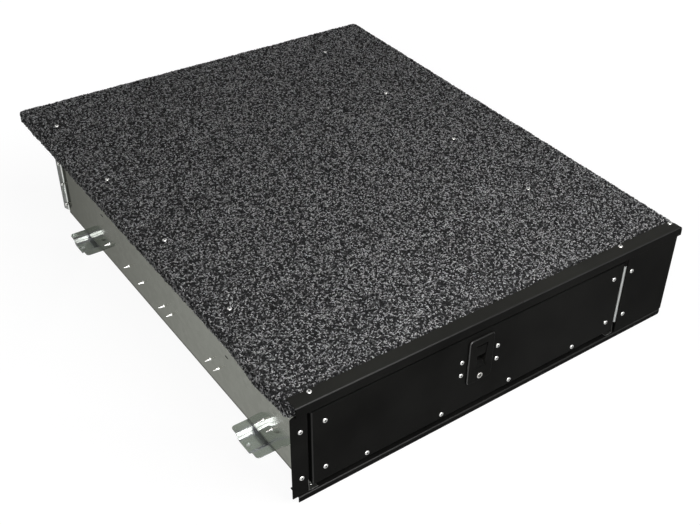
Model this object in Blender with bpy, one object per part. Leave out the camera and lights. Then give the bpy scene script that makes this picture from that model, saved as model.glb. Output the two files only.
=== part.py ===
"""Vehicle drawer module: a galvanised cabinet with a carpeted deck and one latched drawer.

Metres, +Z up. The part rests on the floor at z = 0 and its front faces -Y. Sizes below are
taken from the cabinet's centre line (x), the front plates' outer face (y) and the floor (z).
"""

import math

import bmesh
import bpy
from mathutils import Matrix, Vector

# clearances and round shapes
GAP = 0.0003
OVERRUN = 0.0040
MERGE_DISTANCE = 0.000003
HOLE_SIDES = 8
TURN_SIDES = 10
LOCK_SIDES = 20
CORNER_STEPS = 4
EYE_STEPS = 4
CAM_STEPS = 6
NUT_SIDES = 6

# the sizes that the rest follow
OVERALL_HEIGHT = 0.2448
CABINET_WIDTH = 0.8048
CABINET_DEPTH = 1.1175
HALF = CABINET_WIDTH / 2

# sheet metal
GALVANISED = 0.0015
PLATE = 0.0020
RUNNER_SHEET = 0.0018
BOX_SHEET = 0.0012

# deck
DECK_DEPTH = 0.0230
DECK_BOTTOM = OVERALL_HEIGHT - DECK_DEPTH
DECK_LEFT_REACH = 0.0330
DECK_LEFT = -HALF - DECK_LEFT_REACH
DECK_RIGHT_REACH = 0.1612
DECK_RIGHT = HALF + DECK_RIGHT_REACH
DECK_FRONT = 0.0050
DECK_OVERHANG = 0.1425
DECK_BACK = CABINET_DEPTH + DECK_OVERHANG
DECK_CORNER = 0.0120
CARPET = 0.0035
CARPET_PROUD = 0.0002
CARPET_TOP = OVERALL_HEIGHT + CARPET_PROUD
PRESSED_CARPET = 0.0012

# cabinet sides and back
SIDE_TOP_FLANGE = 0.0270
SIDE_BOTTOM_FLANGE = 0.0200
FRONT_FLANGE_REACH = 0.0330
FRONT_FLANGE_LOW = 0.0460
FRONT_FLANGE_DROP = 0.0448
FRONT_FLANGE_HIGH = OVERALL_HEIGHT - FRONT_FLANGE_DROP
REAR_FLANGE_REACH = 0.0102
REAR_FLANGE_LOW = 0.0320
REAR_FLANGE_CHAMFER = 0.0100
REAR_TOP_FLANGE = 0.0450
SIDE_SLOT_LENGTH = 0.0120
SIDE_SLOT_HEIGHT = 0.0035
# each slot's place: a share of the cabinet's depth, and a share of the overall height
SIDE_SLOT_SHARES = ((0.2681, 0.5261), (0.7919, 0.5539))

# cross members, whose crowns are the feet
MEMBER_OVERHANG = 0.0380
MEMBER_HEIGHT = 0.0135
MEMBER_FLANGE = 0.0210
MEMBER_SLOPE = 0.0110
MEMBER_CROWN = 0.0404
FRONT_MEMBER_START = 0.1274
REAR_MEMBER_SETBACK = 0.1949
MEMBER_STARTS = (FRONT_MEMBER_START, CABINET_DEPTH - REAR_MEMBER_SETBACK)
MEMBER_CORNER = 0.0080
MEMBER_CORNER_STEPS = 3
MEMBER_HOLE = 0.0045
MEMBER_HOLE_REACH = 0.0285

# black front
POST_REACH = 0.0370
POST_WIDTH = 0.0327
WING_REACH = 0.1582
FACE_LEFT = -HALF - POST_REACH
FACE_RIGHT = HALF + WING_REACH
OPENING_REACH = 0.0085
OPENING_WIDTH = CABINET_WIDTH + OPENING_REACH
FACE_DROP = 0.0198
FACE_TOP = OVERALL_HEIGHT - FACE_DROP
POST_BOTTOM = 0.0168
PANEL_BOTTOM = 0.0150
POST_CHAMFER = 0.0045
PANEL_CORNER = 0.0040
PANEL_CORNER_STEPS = 3
RAIL_HEIGHT = 0.0135
RAIL_DEPTH = 0.0300
RAIL_LEFT_SHORT = 0.0128
RAIL_RIGHT_SHORT = 0.0020
RAIL_LEFT = FACE_LEFT + RAIL_LEFT_SHORT
RAIL_RIGHT = FACE_RIGHT - RAIL_RIGHT_SHORT
RAIL_CORNER = 0.0120
TRIM_LEFT_SHORT = 0.0115
TRIM_RIGHT_REACH = 0.0080
TRIM_LEFT = FACE_LEFT + TRIM_LEFT_SHORT
TRIM_RIGHT = FACE_RIGHT + TRIM_RIGHT_REACH
TRIM_DEPTH = 0.0313
TRIM_LIP = 0.0228
TRIM_BOTTOM = OVERALL_HEIGHT - TRIM_LIP
TRIM_CORNER = 0.0150
TRIM_CORNER_STEPS = 5

# drawer
FRONT_CLEARANCE = 0.0130
FRONT_WIDTH = CABINET_WIDTH - FRONT_CLEARANCE
FRONT_BOTTOM = 0.0285
FRONT_DROP = 0.0303
FRONT_TOP = OVERALL_HEIGHT - FRONT_DROP
FRONT_RETURN = 0.0180
BOX_DROP = 0.0095
BOX_TOP = FRONT_TOP - BOX_DROP
BOX_SHORT = 0.0575
BOX_DEPTH = CABINET_DEPTH - BOX_SHORT
BOX_BOTTOM_FLANGE = 0.0200
BOX_TOP_FLANGE = 0.0150
BOX_FRONT_FLANGE = 0.0280
FLOOR_LIP = 0.0240
BACK_FLANGE = 0.0150
LINER = 0.0050
LINER_MARGIN = 0.0200
LINER_SETBACK = 0.0105

# slides
SLIDE_Z = 0.0685
SLIDE_HEIGHT = 0.0760
SLIDE_DEPTH = 0.0165
SLIDE_SPACE = 0.0190
SLIDE_LIP = 0.0020
SLIDE_FRONT = 0.0200
SLIDE_SHORT = 0.0440
SLIDE_LENGTH = BOX_DEPTH - SLIDE_SHORT
SLIDE_WEB_GAP = 0.0015
SLIDE_RUN_GAP = 0.0004
MIDDLE_DEPTH = 0.0106
INNER_DEPTH = 0.0115

# latch housing, under the top of the drawer's front
LATCH_X = -0.0036
HOUSING_WIDTH = 0.0640
HOUSING_DROP = 0.0105
HOUSING_HEIGHT = 0.1140
HOUSING_HIGH = FRONT_TOP - HOUSING_DROP
HOUSING_LOW = HOUSING_HIGH - HOUSING_HEIGHT
HOUSING_PROUD = 0.0055
HOUSING_CORNER = 0.0080
HOUSING_CORNER_STEPS = 5
BOSS_WIDTH = 0.0480
BOSS_MARGIN = 0.0060
BOSS_DEPTH = 0.0177
BOSS_CORNER_STEPS = 3
RECESS_WIDTH = 0.0300
RECESS_HEIGHT = 0.0600
RECESS_DROP = 0.0180
RECESS_HIGH = HOUSING_HIGH - RECESS_DROP
RECESS_LOW = RECESS_HIGH - RECESS_HEIGHT
RECESS_DEPTH = 0.0140
RECESS_CORNER = 0.0020
RECESS_CORNER_STEPS = 3

# paddle, its pin and the bolt that it draws
PADDLE_DROP = 0.0235
PADDLE_HEIGHT = 0.0225
PADDLE_HIGH = HOUSING_HIGH - PADDLE_DROP
PADDLE_LOW = PADDLE_HIGH - PADDLE_HEIGHT
PADDLE_PLATE = 0.0030
PADDLE_INSET = 0.0015
PIN_Y = 0.0040
PIN_DROP = 0.0015
PIN_Z = PADDLE_HIGH - PIN_DROP
PIN_RADIUS = 0.0015
PIN_HALF = 0.0200
PADDLE_EYE = 0.0029
ARM_WIDTH = 0.0080
ARM_THICK = 0.0040
ARM_REACH = 0.0200
ARM_SLOT_DROP = 0.0130
BOLT_WIDTH = 0.0140
BOLT_FRONT = 0.0200
BOLT_THICK = 0.0040
BOLT_TAIL = 0.0550
BOLT_LOW = PIN_Z - BOLT_TAIL
BOLT_ROOM = 0.0023
BOLT_HIGH = DECK_BOTTOM - BOLT_ROOM
BOLT_WINDOW = 0.0084
BRACKET_WIDTH = 0.1120
BRACKET_DROP = 0.0110
BRACKET_HEIGHT = 0.0550
BRACKET_HIGH = PIN_Z - BRACKET_DROP
BRACKET_LOW = BRACKET_HIGH - BRACKET_HEIGHT
BRACKET_BRIDGE = 0.0640
GUIDE_RIB = 0.0015
BRACKET_RIB_SETBACK = 0.0100

# lock and striker
LOCK_RISE = 0.0145
LOCK_Z = HOUSING_LOW + LOCK_RISE
LOCK_RADIUS = 0.0070
LOCK_PROUD = 0.0070
LOCK_LENGTH = 0.0265
LOCK_EDGE_SHARE = 0.92
KEYWAY_WIDTH = 0.0014
KEYWAY_HEIGHT = 0.0070
KEYWAY_DEPTH = 0.0040
CAM_REACH = 0.0090
CAM_HUB = 0.0060
CAM_THICK = 0.0020
CAM_POST = 0.0025
STRIKER_WIDTH = 0.0600
STRIKER_BACK = 0.0185
STRIKER_DEPTH = 0.0130
STRIKER_DROP = 0.0060
STRIKER_LOW = DECK_BOTTOM - STRIKER_DROP

# fasteners
HEAD_RADIUS = 0.00525
HEAD_HEIGHT = 0.0030
SHANK_RADIUS = 0.0028
SOCKET_RADIUS = 0.0021
SOCKET_DEPTH = 0.0016
FACE_SHANK = 0.0075
SMALL_HEAD_RADIUS = 0.0045
SMALL_HEAD_HEIGHT = 0.0022
SMALL_SHANK_RADIUS = 0.0020
RIVET_HEAD_RADIUS = 0.0040
RIVET_HEAD_HEIGHT = 0.0012
RIVET_RADIUS = 0.0020
RIVET_TAIL = 0.0022
RIVET_TAIL_RADIUS = 0.0026
WOOD_SHANK = 0.0140
NUT_RADIUS = 0.0057
NUT_HEIGHT = 0.0050
DECK_SHANK_SPARE = 0.0015
HEAD_SHOULDER_SHARE = 0.72
HEAD_RIM_SHARE = 0.35
RIVET_DOME_SHARE = 0.80
RIVET_SIDES = 6
LOW_HEAD_SIDES = 8

# places of the fasteners
POST_SCREW_INSET = 0.0198
POST_SCREW_X = FACE_LEFT + POST_SCREW_INSET
PANEL_SCREW_REACH = 0.0195
PANEL_SCREW_X = HALF + PANEL_SCREW_REACH
LOW_FACE_SCREW_Z = 0.0638
FACE_SCREW_DROP = 0.0420
FACE_SCREW_ZS = (LOW_FACE_SCREW_Z, FACE_TOP - FACE_SCREW_DROP)
DRAWER_SCREW_INSET = 0.0281
DRAWER_SCREW_X = FRONT_WIDTH / 2 - DRAWER_SCREW_INSET
# shares of half the drawer front's width
FLOOR_SCREW_SHARES = (-0.6918, -0.2357, 0.2167, 0.6782)
FLOOR_SCREW_XS = tuple(share * FRONT_WIDTH / 2 for share in FLOOR_SCREW_SHARES)
FLOOR_SCREW_Z = 0.0420
LATCH_SCREW_SPREAD = 0.0461
LOW_LATCH_SCREW_RISE = 0.0334
HIGH_LATCH_SCREW_RISE = 0.0675
LATCH_SCREW_ZS = (HOUSING_LOW + LOW_LATCH_SCREW_RISE, HOUSING_LOW + HIGH_LATCH_SCREW_RISE)
LEFT_TRIM_SCREW_INSET = 0.0423
MIDDLE_TRIM_SCREW_INSET = 0.1729
RIGHT_TRIM_SCREW_INSET = 0.0175
TRIM_SCREW_XS = (TRIM_LEFT + LEFT_TRIM_SCREW_INSET, TRIM_RIGHT - MIDDLE_TRIM_SCREW_INSET,
                 TRIM_RIGHT - RIGHT_TRIM_SCREW_INSET)
TRIM_SCREW_Y = 0.0210
DECK_SCREW_INSET = 0.0165
DECK_SCREW_X = HALF - DECK_SCREW_INSET
# shares of the cabinet's depth
DECK_SCREW_SHARES = (0.27025, 0.51365, 0.76600)
SIDE_DECK_SCREW_YS = tuple(share * CABINET_DEPTH for share in DECK_SCREW_SHARES)
REAR_DECK_SCREW_REACH = 0.0270
REAR_DECK_SCREW_Y = CABINET_DEPTH + REAR_DECK_SCREW_REACH
DECK_SCREW_YS = SIDE_DECK_SCREW_YS + (REAR_DECK_SCREW_Y,)
# shares of the slides' length
SLIDE_SCREW_SHARES = (0.11073, 0.14075, 0.31516, 0.34951, 0.52028, 0.55492, 0.65532, 0.72687, 0.82933)
SLIDE_SCREW_YS = tuple(SLIDE_FRONT + share * SLIDE_LENGTH for share in SLIDE_SCREW_SHARES)
DRAWER_SLIDE_SCREW_SHARES = (0.0591, 0.2461, 0.4724, 0.6988, 0.9252)
DRAWER_SLIDE_SCREW_YS = tuple(SLIDE_FRONT + share * SLIDE_LENGTH for share in DRAWER_SLIDE_SCREW_SHARES)
STRIKER_SCREW_SPREAD = 0.0200
# shares of the overall height
REAR_RIVET_SHARES = (0.1695, 0.4109, 0.6524, 0.8374)
REAR_RIVET_ZS = tuple(share * OVERALL_HEIGHT for share in REAR_RIVET_SHARES)
REAR_RIVET_REACH = 0.0052
BASE_RIVET_INSET = 0.0120
FLOOR_RIVET_INSET = 0.0100
# shares of the drawer box's depth
FLOOR_RIVET_SHARES = (0.0566, 0.2830, 0.5094, 0.7358, 0.9623)
FLOOR_RIVET_YS = tuple(share * BOX_DEPTH for share in FLOOR_RIVET_SHARES)
BACK_RIVET_DROPS = (0.0800, 0.0300)
BACK_RIVET_ZS = tuple(BOX_TOP - drop for drop in BACK_RIVET_DROPS)

# worked out from the sizes above
WEB_IN = HALF - GALVANISED
SHEET_BACK = PLATE + GAP
SIDE_BOTTOM = MEMBER_HEIGHT + GAP
SIDE_TOP = DECK_BOTTOM - GAP
MEMBER_HALF = HALF + MEMBER_OVERHANG
MEMBER_WIDTH = 2 * MEMBER_FLANGE + 2 * MEMBER_SLOPE + MEMBER_CROWN
BOARD_BOTTOM = DECK_BOTTOM + GAP
BOARD_TOP = OVERALL_HEIGHT - PLATE - PRESSED_CARPET - 2 * GAP
BOX_HALF = WEB_IN - SLIDE_SPACE - GAP
BOX_BOTTOM = FRONT_BOTTOM + PLATE + GAP
BOX_IN = BOX_HALF - BOX_SHEET
FLOOR_BOTTOM = BOX_BOTTOM + BOX_SHEET + GAP
FLOOR_TOP = FLOOR_BOTTOM + BOX_SHEET
SEAT_Y = SHEET_BACK + BOX_SHEET
FRONT_FACE = -HOUSING_PROUD
PROUD_FACE = -LOCK_PROUD
LOCK_X = LATCH_X
CENTRE_X = (TRIM_RIGHT - MEMBER_HALF) / 2
CENTRE_Y = (PROUD_FACE + DECK_BACK) / 2


def clear_scene():
    for item in list(bpy.data.objects):
        bpy.data.objects.remove(item, do_unlink=True)


def finish(name, colour, roughness, metallic):
    made = bpy.data.materials.new(name)
    made.use_nodes = True
    shader = made.node_tree.nodes["Principled BSDF"]
    shader.inputs["Base Color"].default_value = (*colour, 1.0)
    shader.inputs["Roughness"].default_value = roughness
    shader.inputs["Metallic"].default_value = metallic
    made.diffuse_color = (*colour, 1.0)
    return made


# each anchor is an empty on the axis of the body that it carries
ANCHORS = {}


def anchor(name, place, parent=None):
    made = bpy.data.objects.new(name, None)
    bpy.context.collection.objects.link(made)
    carrier = ANCHORS[parent][1] if parent else Vector((0, 0, 0))
    made.location = place - carrier
    if parent:
        made.parent = ANCHORS[parent][0]
    ANCHORS[name] = (made, place)


def place_mesh(name, shape, material, carrier="cabinet", pivot=None):
    """Make an object from a bmesh that is drawn in the cabinet's frame."""
    holder, held_at = ANCHORS[carrier]
    pivot = held_at if pivot is None else Vector(pivot)
    bmesh.ops.recalc_face_normals(shape, faces=shape.faces)
    bmesh.ops.translate(shape, verts=shape.verts, vec=-pivot)
    mesh = bpy.data.meshes.new(name)
    shape.to_mesh(mesh)
    shape.free()
    mesh.shade_smooth()
    mesh.set_sharp_from_angle(angle=math.radians(30))
    made = bpy.data.objects.new(name, mesh)
    bpy.context.collection.objects.link(made)
    made.parent = holder
    made.location = pivot - held_at
    if material:
        mesh.materials.append(material)
    return made


def box(shape, low, high):
    """Add a block between two corners."""
    low = Vector(low)
    high = Vector(high)
    size = high - low
    where = Matrix.Translation((low + high) / 2) @ Matrix.Diagonal((*size, 1.0))
    bmesh.ops.create_cube(shape, size=1.0, matrix=where)


def prism(shape, outline, axis, low, high):
    """Extrude a closed outline along an axis from low to high."""
    spread = {
        "X": lambda a, b, run: (run, a, b),
        "Y": lambda a, b, run: (a, run, b),
        "Z": lambda a, b, run: (a, b, run),
    }[axis]
    ring = [shape.verts.new(spread(a, b, low)) for a, b in outline]
    face = shape.faces.new(ring)
    grown = bmesh.ops.extrude_face_region(shape, geom=[face])["geom"]
    moved = [item for item in grown if isinstance(item, bmesh.types.BMVert)]
    bmesh.ops.translate(shape, verts=moved, vec=Vector(spread(0, 0, high - low)))


def folded(points, thickness):
    """Give the closed outline of a bent sheet whose one side runs through the points."""
    count = len(points)
    runs = [(Vector(points[i + 1]) - Vector(points[i])).normalized() for i in range(count - 1)]
    sides = [Vector((-run.y, run.x)) for run in runs]
    offset = []
    for i, point in enumerate(points):
        before = sides[max(i - 1, 0)]
        after = sides[min(i, count - 2)]
        mitre = (before + after).normalized()
        reach = thickness / mitre.dot(after)
        offset.append(Vector(point) + mitre * reach)
    return [tuple(point) for point in points] + [tuple(point) for point in reversed(offset)]


def rounded_rectangle(left, right, low, high, radius, segments):
    points = []
    corners = ((right - radius, high - radius), (left + radius, high - radius),
               (left + radius, low + radius), (right - radius, low + radius))
    for quarter, (across, up) in enumerate(corners):
        for step in range(segments + 1):
            angle = math.pi / 2 * (quarter + step / segments)
            points.append((across + radius * math.cos(angle), up + radius * math.sin(angle)))
    return points


def round_edges(shape, axis, spots, radius, segments):
    """Bevel the edges that run along an axis and pass through the given spots."""
    index = "XYZ".index(axis)
    others = [i for i in range(3) if i != index]
    chosen = []
    for edge in shape.edges:
        run = edge.verts[1].co - edge.verts[0].co
        if abs(abs(run.normalized()[index]) - 1) > GAP:
            continue
        here = [edge.verts[0].co[i] for i in others]
        if any(math.dist(here, spot) < GAP for spot in spots):
            chosen.append(edge)
    bmesh.ops.bevel(shape, geom=chosen, offset=radius, segments=segments, profile=0.5,
                    affect="EDGES", material=-1, clamp_overlap=False)


TURNS = {
    "X": Matrix.Rotation(math.pi / 2, 4, "Y"),
    "-X": Matrix.Rotation(-math.pi / 2, 4, "Y"),
    "Y": Matrix.Rotation(-math.pi / 2, 4, "X"),
    "-Y": Matrix.Rotation(math.pi / 2, 4, "X"),
    "Z": Matrix.Identity(4),
    "-Z": Matrix.Rotation(math.pi, 4, "X"),
}


def cylinder(shape, start, axis, radius, length, sides=TURN_SIDES):
    """Add a round bar that starts at a point and runs along a signed axis."""
    turn = TURNS[axis]
    middle = Vector(start) + turn.to_3x3() @ Vector((0, 0, length / 2))
    bmesh.ops.create_cone(shape, cap_ends=True, segments=sides, radius1=radius,
                          radius2=radius, depth=length, matrix=Matrix.Translation(middle) @ turn)


def turned(shape, start, axis, profile, sides=TURN_SIDES):
    """Spin a profile of (radius, along) points about a signed axis through a point."""
    where = Matrix.Translation(start) @ TURNS[axis]
    made = [shape.verts.new(where @ Vector((radius, 0, along))) for radius, along in profile]
    edges = [shape.edges.new(pair) for pair in zip(made, made[1:])]
    axis_vector = where.to_3x3() @ Vector((0, 0, 1))
    bmesh.ops.spin(shape, geom=made + edges, cent=start, axis=axis_vector,
                   angle=2 * math.pi, steps=sides, use_merge=True)
    bmesh.ops.remove_doubles(shape, verts=shape.verts, dist=MERGE_DISTANCE)


def helper(target, name, shape, operation):
    """Join or cut a target with a guide solid that isn't part of the model."""
    guide = place_mesh(f"{target.name}_{name}", shape, None)
    guide.display_type = "WIRE"
    guide.hide_render = True
    step = target.modifiers.new(name, "BOOLEAN")
    step.operation = operation
    step.solver = "EXACT"
    step.object = guide


def cut(target, name, shape):
    helper(target, name, shape, "DIFFERENCE")


def join(target, name, shape):
    helper(target, name, shape, "UNION")


def drill(target, name, starts, axis, radius, length):
    """Bore holes whose flats touch the radius; each runs an overrun past both its ends."""
    shape = bmesh.new()
    corner = radius / math.cos(math.pi / HOLE_SIDES)
    back = TURNS[axis].to_3x3() @ Vector((0, 0, -OVERRUN))
    for start in starts:
        cylinder(shape, Vector(start) + back, axis, corner, length + 2 * OVERRUN, HOLE_SIDES)
    cut(target, name, shape)


def button_screw(shape, seat, axis, shank, radius=HEAD_RADIUS, height=HEAD_HEIGHT,
                 shank_radius=SHANK_RADIUS, socket=True, sides=TURN_SIDES):
    """Add a button-head screw whose head sits on a seat; axis points out of the head."""
    shoulder = radius * HEAD_SHOULDER_SHARE
    profile = [(0, -shank), (shank_radius, -shank), (shank_radius, GAP), (radius, GAP),
               (radius, height * HEAD_RIM_SHARE), (shoulder, height)]
    if socket:
        profile += [(SOCKET_RADIUS, height), (SOCKET_RADIUS, height - SOCKET_DEPTH),
                    (0, height - SOCKET_DEPTH)]
    else:
        profile += [(0, height)]
    turned(shape, seat, axis, profile, sides)


def rivet(shape, seat, axis, grip):
    """Add a blind rivet with a domed head on its seat and a swollen tail past the grip."""
    profile = [(0, -grip - RIVET_TAIL), (RIVET_TAIL_RADIUS, -grip - RIVET_TAIL),
               (RIVET_TAIL_RADIUS, -grip - GAP), (RIVET_RADIUS, -grip - GAP), (RIVET_RADIUS, GAP),
               (RIVET_HEAD_RADIUS, GAP), (RIVET_HEAD_RADIUS * RIVET_DOME_SHARE, RIVET_HEAD_HEIGHT),
               (0, RIVET_HEAD_HEIGHT)]
    turned(shape, seat, axis, profile, RIVET_SIDES)


def side_panel(side, steel):
    """Folded galvanised side; side is -1 on the left and 1 on the right."""
    web_out = side * HALF
    web_in = side * WEB_IN
    top_in = side * (HALF - SIDE_TOP_FLANGE)
    foot_in = side * (HALF - SIDE_BOTTOM_FLANGE)
    channel = [(top_in, SIDE_TOP), (web_out, SIDE_TOP), (web_out, SIDE_BOTTOM),
               (foot_in, SIDE_BOTTOM), (foot_in, SIDE_BOTTOM + GALVANISED),
               (web_in, SIDE_BOTTOM + GALVANISED), (web_in, SIDE_TOP - GALVANISED),
               (top_in, SIDE_TOP - GALVANISED)]
    shape = bmesh.new()
    prism(shape, channel, "Y", SHEET_BACK, CABINET_DEPTH)
    made = place_mesh("side_panel_left" if side < 0 else "side_panel_right", shape, steel)

    front = bmesh.new()
    across = sorted((web_in, side * (HALF + FRONT_FLANGE_REACH)))
    box(front, (across[0], SHEET_BACK, FRONT_FLANGE_LOW),
        (across[1], SHEET_BACK + GALVANISED, FRONT_FLANGE_HIGH))
    join(made, "front_flange", front)

    rear = bmesh.new()
    tip = side * (HALF + REAR_FLANGE_REACH)
    chamfer = REAR_FLANGE_LOW - REAR_FLANGE_CHAMFER
    outline = [(web_in, chamfer), (web_out, chamfer), (tip, REAR_FLANGE_LOW), (tip, SIDE_TOP),
               (web_in, SIDE_TOP)]
    prism(rear, outline, "Y", CABINET_DEPTH - GALVANISED, CABINET_DEPTH)
    join(made, "rear_flange", rear)

    slots = bmesh.new()
    for depth_share, height_share in SIDE_SLOT_SHARES:
        along = depth_share * CABINET_DEPTH
        up = height_share * OVERALL_HEIGHT
        reach = sorted((web_in - side * OVERRUN, web_out + side * OVERRUN))
        box(slots, (reach[0], along - SIDE_SLOT_LENGTH / 2, up - SIDE_SLOT_HEIGHT / 2),
            (reach[1], along + SIDE_SLOT_LENGTH / 2, up + SIDE_SLOT_HEIGHT / 2))
    cut(made, "slots", slots)
    drill(made, "slide_holes", [(web_out, y, SLIDE_Z) for y in SLIDE_SCREW_YS],
          "X" if side < 0 else "-X", SMALL_SHANK_RADIUS + GAP, GALVANISED)
    add_clinch_nuts(made, [(side * DECK_SCREW_X, y) for y in SIDE_DECK_SCREW_YS])
    drill(made, "base_holes", [(x, y, SIDE_BOTTOM) for x, y in base_rivets(side)], "Z",
          RIVET_RADIUS + GAP, GALVANISED)
    screw_x = POST_SCREW_X if side < 0 else PANEL_SCREW_X
    drill(made, "face_holes", [(screw_x, SHEET_BACK, z) for z in FACE_SCREW_ZS], "Y",
          SHANK_RADIUS + GAP, GALVANISED)
    drill(made, "rear_holes", rear_rivets(side, CABINET_DEPTH - GALVANISED), "Y",
          RIVET_RADIUS + GAP, GALVANISED)


def add_clinch_nuts(target, places):
    """Press nuts under a top flange, where the deck screws end."""
    nuts = bmesh.new()
    low = SIDE_TOP - GALVANISED - NUT_HEIGHT
    for x, y in places:
        cylinder(nuts, (x, y, low), "Z", NUT_RADIUS, NUT_HEIGHT + GALVANISED / 2, NUT_SIDES)
    join(target, "clinch_nuts", nuts)
    drill(target, "threads", [(x, y, low) for x, y in places], "Z", SHANK_RADIUS + GAP,
          NUT_HEIGHT + GALVANISED)


def add_rivets(target, seats, axis, grip):
    """Rivets fixed in a sheet; each head sits past the sheet that they hold."""
    shape = bmesh.new()
    for seat in seats:
        rivet(shape, seat, axis, grip)
    join(target, f"rivets_{axis}", shape)


def member_flange_ys():
    """Middle of each flange of the two cross members."""
    ys = []
    for start in MEMBER_STARTS:
        ys += [start + MEMBER_FLANGE / 2, start + MEMBER_WIDTH - MEMBER_FLANGE / 2]
    return ys


def base_rivets(side):
    x = side * (HALF - BASE_RIVET_INSET)
    return [(x, RAIL_DEPTH / 2 + PLATE)] + [(x, y) for y in member_flange_ys()]


def rear_rivets(side, y):
    return [(side * (HALF + REAR_RIVET_REACH), y, z) for z in REAR_RIVET_ZS]


def cross_member(name, start, steel):
    top = MEMBER_HEIGHT
    crown = GALVANISED
    y = start
    points = [(y, top)]
    for run, height in ((MEMBER_FLANGE, top), (MEMBER_SLOPE, crown), (MEMBER_CROWN, crown),
                        (MEMBER_SLOPE, top), (MEMBER_FLANGE, top)):
        y += run
        points.append((y, height))
    shape = bmesh.new()
    prism(shape, folded(points, -GALVANISED), "X", -MEMBER_HALF, MEMBER_HALF)
    spots = [(x, edge) for x in (-MEMBER_HALF, MEMBER_HALF) for edge in (start, start + MEMBER_WIDTH)]
    round_edges(shape, "Z", spots, MEMBER_CORNER, MEMBER_CORNER_STEPS)
    made = place_mesh(name, shape, steel)
    hole_x = HALF + MEMBER_HOLE_REACH
    middle = start + MEMBER_WIDTH / 2
    drill(made, "mounting_holes", [(-hole_x, middle, 0), (hole_x, middle, 0)], "Z", MEMBER_HOLE, GALVANISED)
    flanges = (start + MEMBER_FLANGE / 2, start + MEMBER_WIDTH - MEMBER_FLANGE / 2)
    rivet_x = HALF - BASE_RIVET_INSET
    seats = [(x, y, SIDE_BOTTOM + GALVANISED) for x in (-rivet_x, rivet_x) for y in flanges]
    add_rivets(made, seats, "Z", 2 * GALVANISED + GAP)


def rear_panel(steel):
    half = HALF + REAR_FLANGE_REACH
    low = CABINET_DEPTH + GAP
    back = low + REAR_TOP_FLANGE
    outline = [(low, REAR_FLANGE_LOW), (low + GALVANISED, REAR_FLANGE_LOW),
               (low + GALVANISED, SIDE_TOP - GALVANISED), (back, SIDE_TOP - GALVANISED),
               (back, SIDE_TOP), (low, SIDE_TOP)]
    shape = bmesh.new()
    prism(shape, outline, "X", -half, half)
    made = place_mesh("rear_panel", shape, steel)
    add_clinch_nuts(made, [(side * DECK_SCREW_X, REAR_DECK_SCREW_Y) for side in (-1, 1)])
    seats = rear_rivets(-1, low + GALVANISED) + rear_rivets(1, low + GALVANISED)
    add_rivets(made, seats, "Y", 2 * GALVANISED + GAP)


def bottom_rail(black):
    outline = [(0, 0), (GALVANISED, 0), (GALVANISED, RAIL_HEIGHT - GALVANISED),
               (RAIL_DEPTH, RAIL_HEIGHT - GALVANISED), (RAIL_DEPTH, RAIL_HEIGHT), (0, RAIL_HEIGHT)]
    shape = bmesh.new()
    prism(shape, outline, "X", RAIL_LEFT, RAIL_RIGHT)
    round_edges(shape, "Z", [(RAIL_RIGHT, RAIL_DEPTH)], RAIL_CORNER, CORNER_STEPS)
    made = place_mesh("bottom_rail", shape, black)
    seats = [(*base_rivets(side)[0], SIDE_BOTTOM + GALVANISED) for side in (-1, 1)]
    add_rivets(made, seats, "Z", 2 * GALVANISED + GAP)


def face_post(black):
    shape = bmesh.new()
    box(shape, (FACE_LEFT, 0, POST_BOTTOM), (FACE_LEFT + POST_WIDTH, PLATE, FACE_TOP))
    round_edges(shape, "Y", [(FACE_LEFT, FACE_TOP)], POST_CHAMFER, 1)
    made = place_mesh("face_post", shape, black)
    drill(made, "screw_holes", [(POST_SCREW_X, 0, z) for z in FACE_SCREW_ZS], "Y",
          SHANK_RADIUS + GAP, PLATE)


def face_panel(black):
    shape = bmesh.new()
    left = FACE_LEFT + POST_WIDTH + OPENING_WIDTH
    box(shape, (left, 0, PANEL_BOTTOM), (FACE_RIGHT, PLATE, FACE_TOP))
    round_edges(shape, "Y", [(FACE_RIGHT, PANEL_BOTTOM)], PANEL_CORNER, PANEL_CORNER_STEPS)
    made = place_mesh("face_panel", shape, black)
    drill(made, "screw_holes", [(PANEL_SCREW_X, 0, z) for z in FACE_SCREW_ZS], "Y",
          SHANK_RADIUS + GAP, PLATE)


def top_trim(black):
    front = -PLATE - GAP
    back = front + TRIM_DEPTH
    outline = [(front, TRIM_BOTTOM), (front + PLATE, TRIM_BOTTOM),
               (front + PLATE, OVERALL_HEIGHT - PLATE), (back, OVERALL_HEIGHT - PLATE),
               (back, OVERALL_HEIGHT), (front, OVERALL_HEIGHT)]
    shape = bmesh.new()
    prism(shape, outline, "X", TRIM_LEFT, TRIM_RIGHT)
    round_edges(shape, "Z", [(TRIM_RIGHT, back)], TRIM_CORNER, TRIM_CORNER_STEPS)
    made = place_mesh("top_trim", shape, black)
    drill(made, "screw_holes", [(x, TRIM_SCREW_Y, OVERALL_HEIGHT - PLATE) for x in TRIM_SCREW_XS],
          "Z", SHANK_RADIUS + GAP, PLATE)


def deck_outline(inset):
    return rounded_rectangle(DECK_LEFT + inset, DECK_RIGHT - inset, DECK_FRONT + inset,
                             DECK_BACK - inset, DECK_CORNER - inset, CORNER_STEPS)


def deck_board(plywood):
    shape = bmesh.new()
    prism(shape, deck_outline(CARPET + GAP), "Z", BOARD_BOTTOM, BOARD_TOP)
    made = place_mesh("deck_board", shape, plywood)
    depth = BOARD_TOP - BOARD_BOTTOM
    drill(made, "deck_holes", deck_screws_at(BOARD_BOTTOM), "Z", SHANK_RADIUS + GAP, depth)
    drill(made, "trim_holes", [(x, TRIM_SCREW_Y, BOARD_TOP - WOOD_SHANK) for x in TRIM_SCREW_XS],
          "Z", SHANK_RADIUS + GAP, WOOD_SHANK)
    drill(made, "striker_holes", [(x, striker_screw_y(), BOARD_BOTTOM) for x in striker_screw_xs()],
          "Z", SMALL_SHANK_RADIUS + GAP, WOOD_SHANK - OVERRUN)


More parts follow.
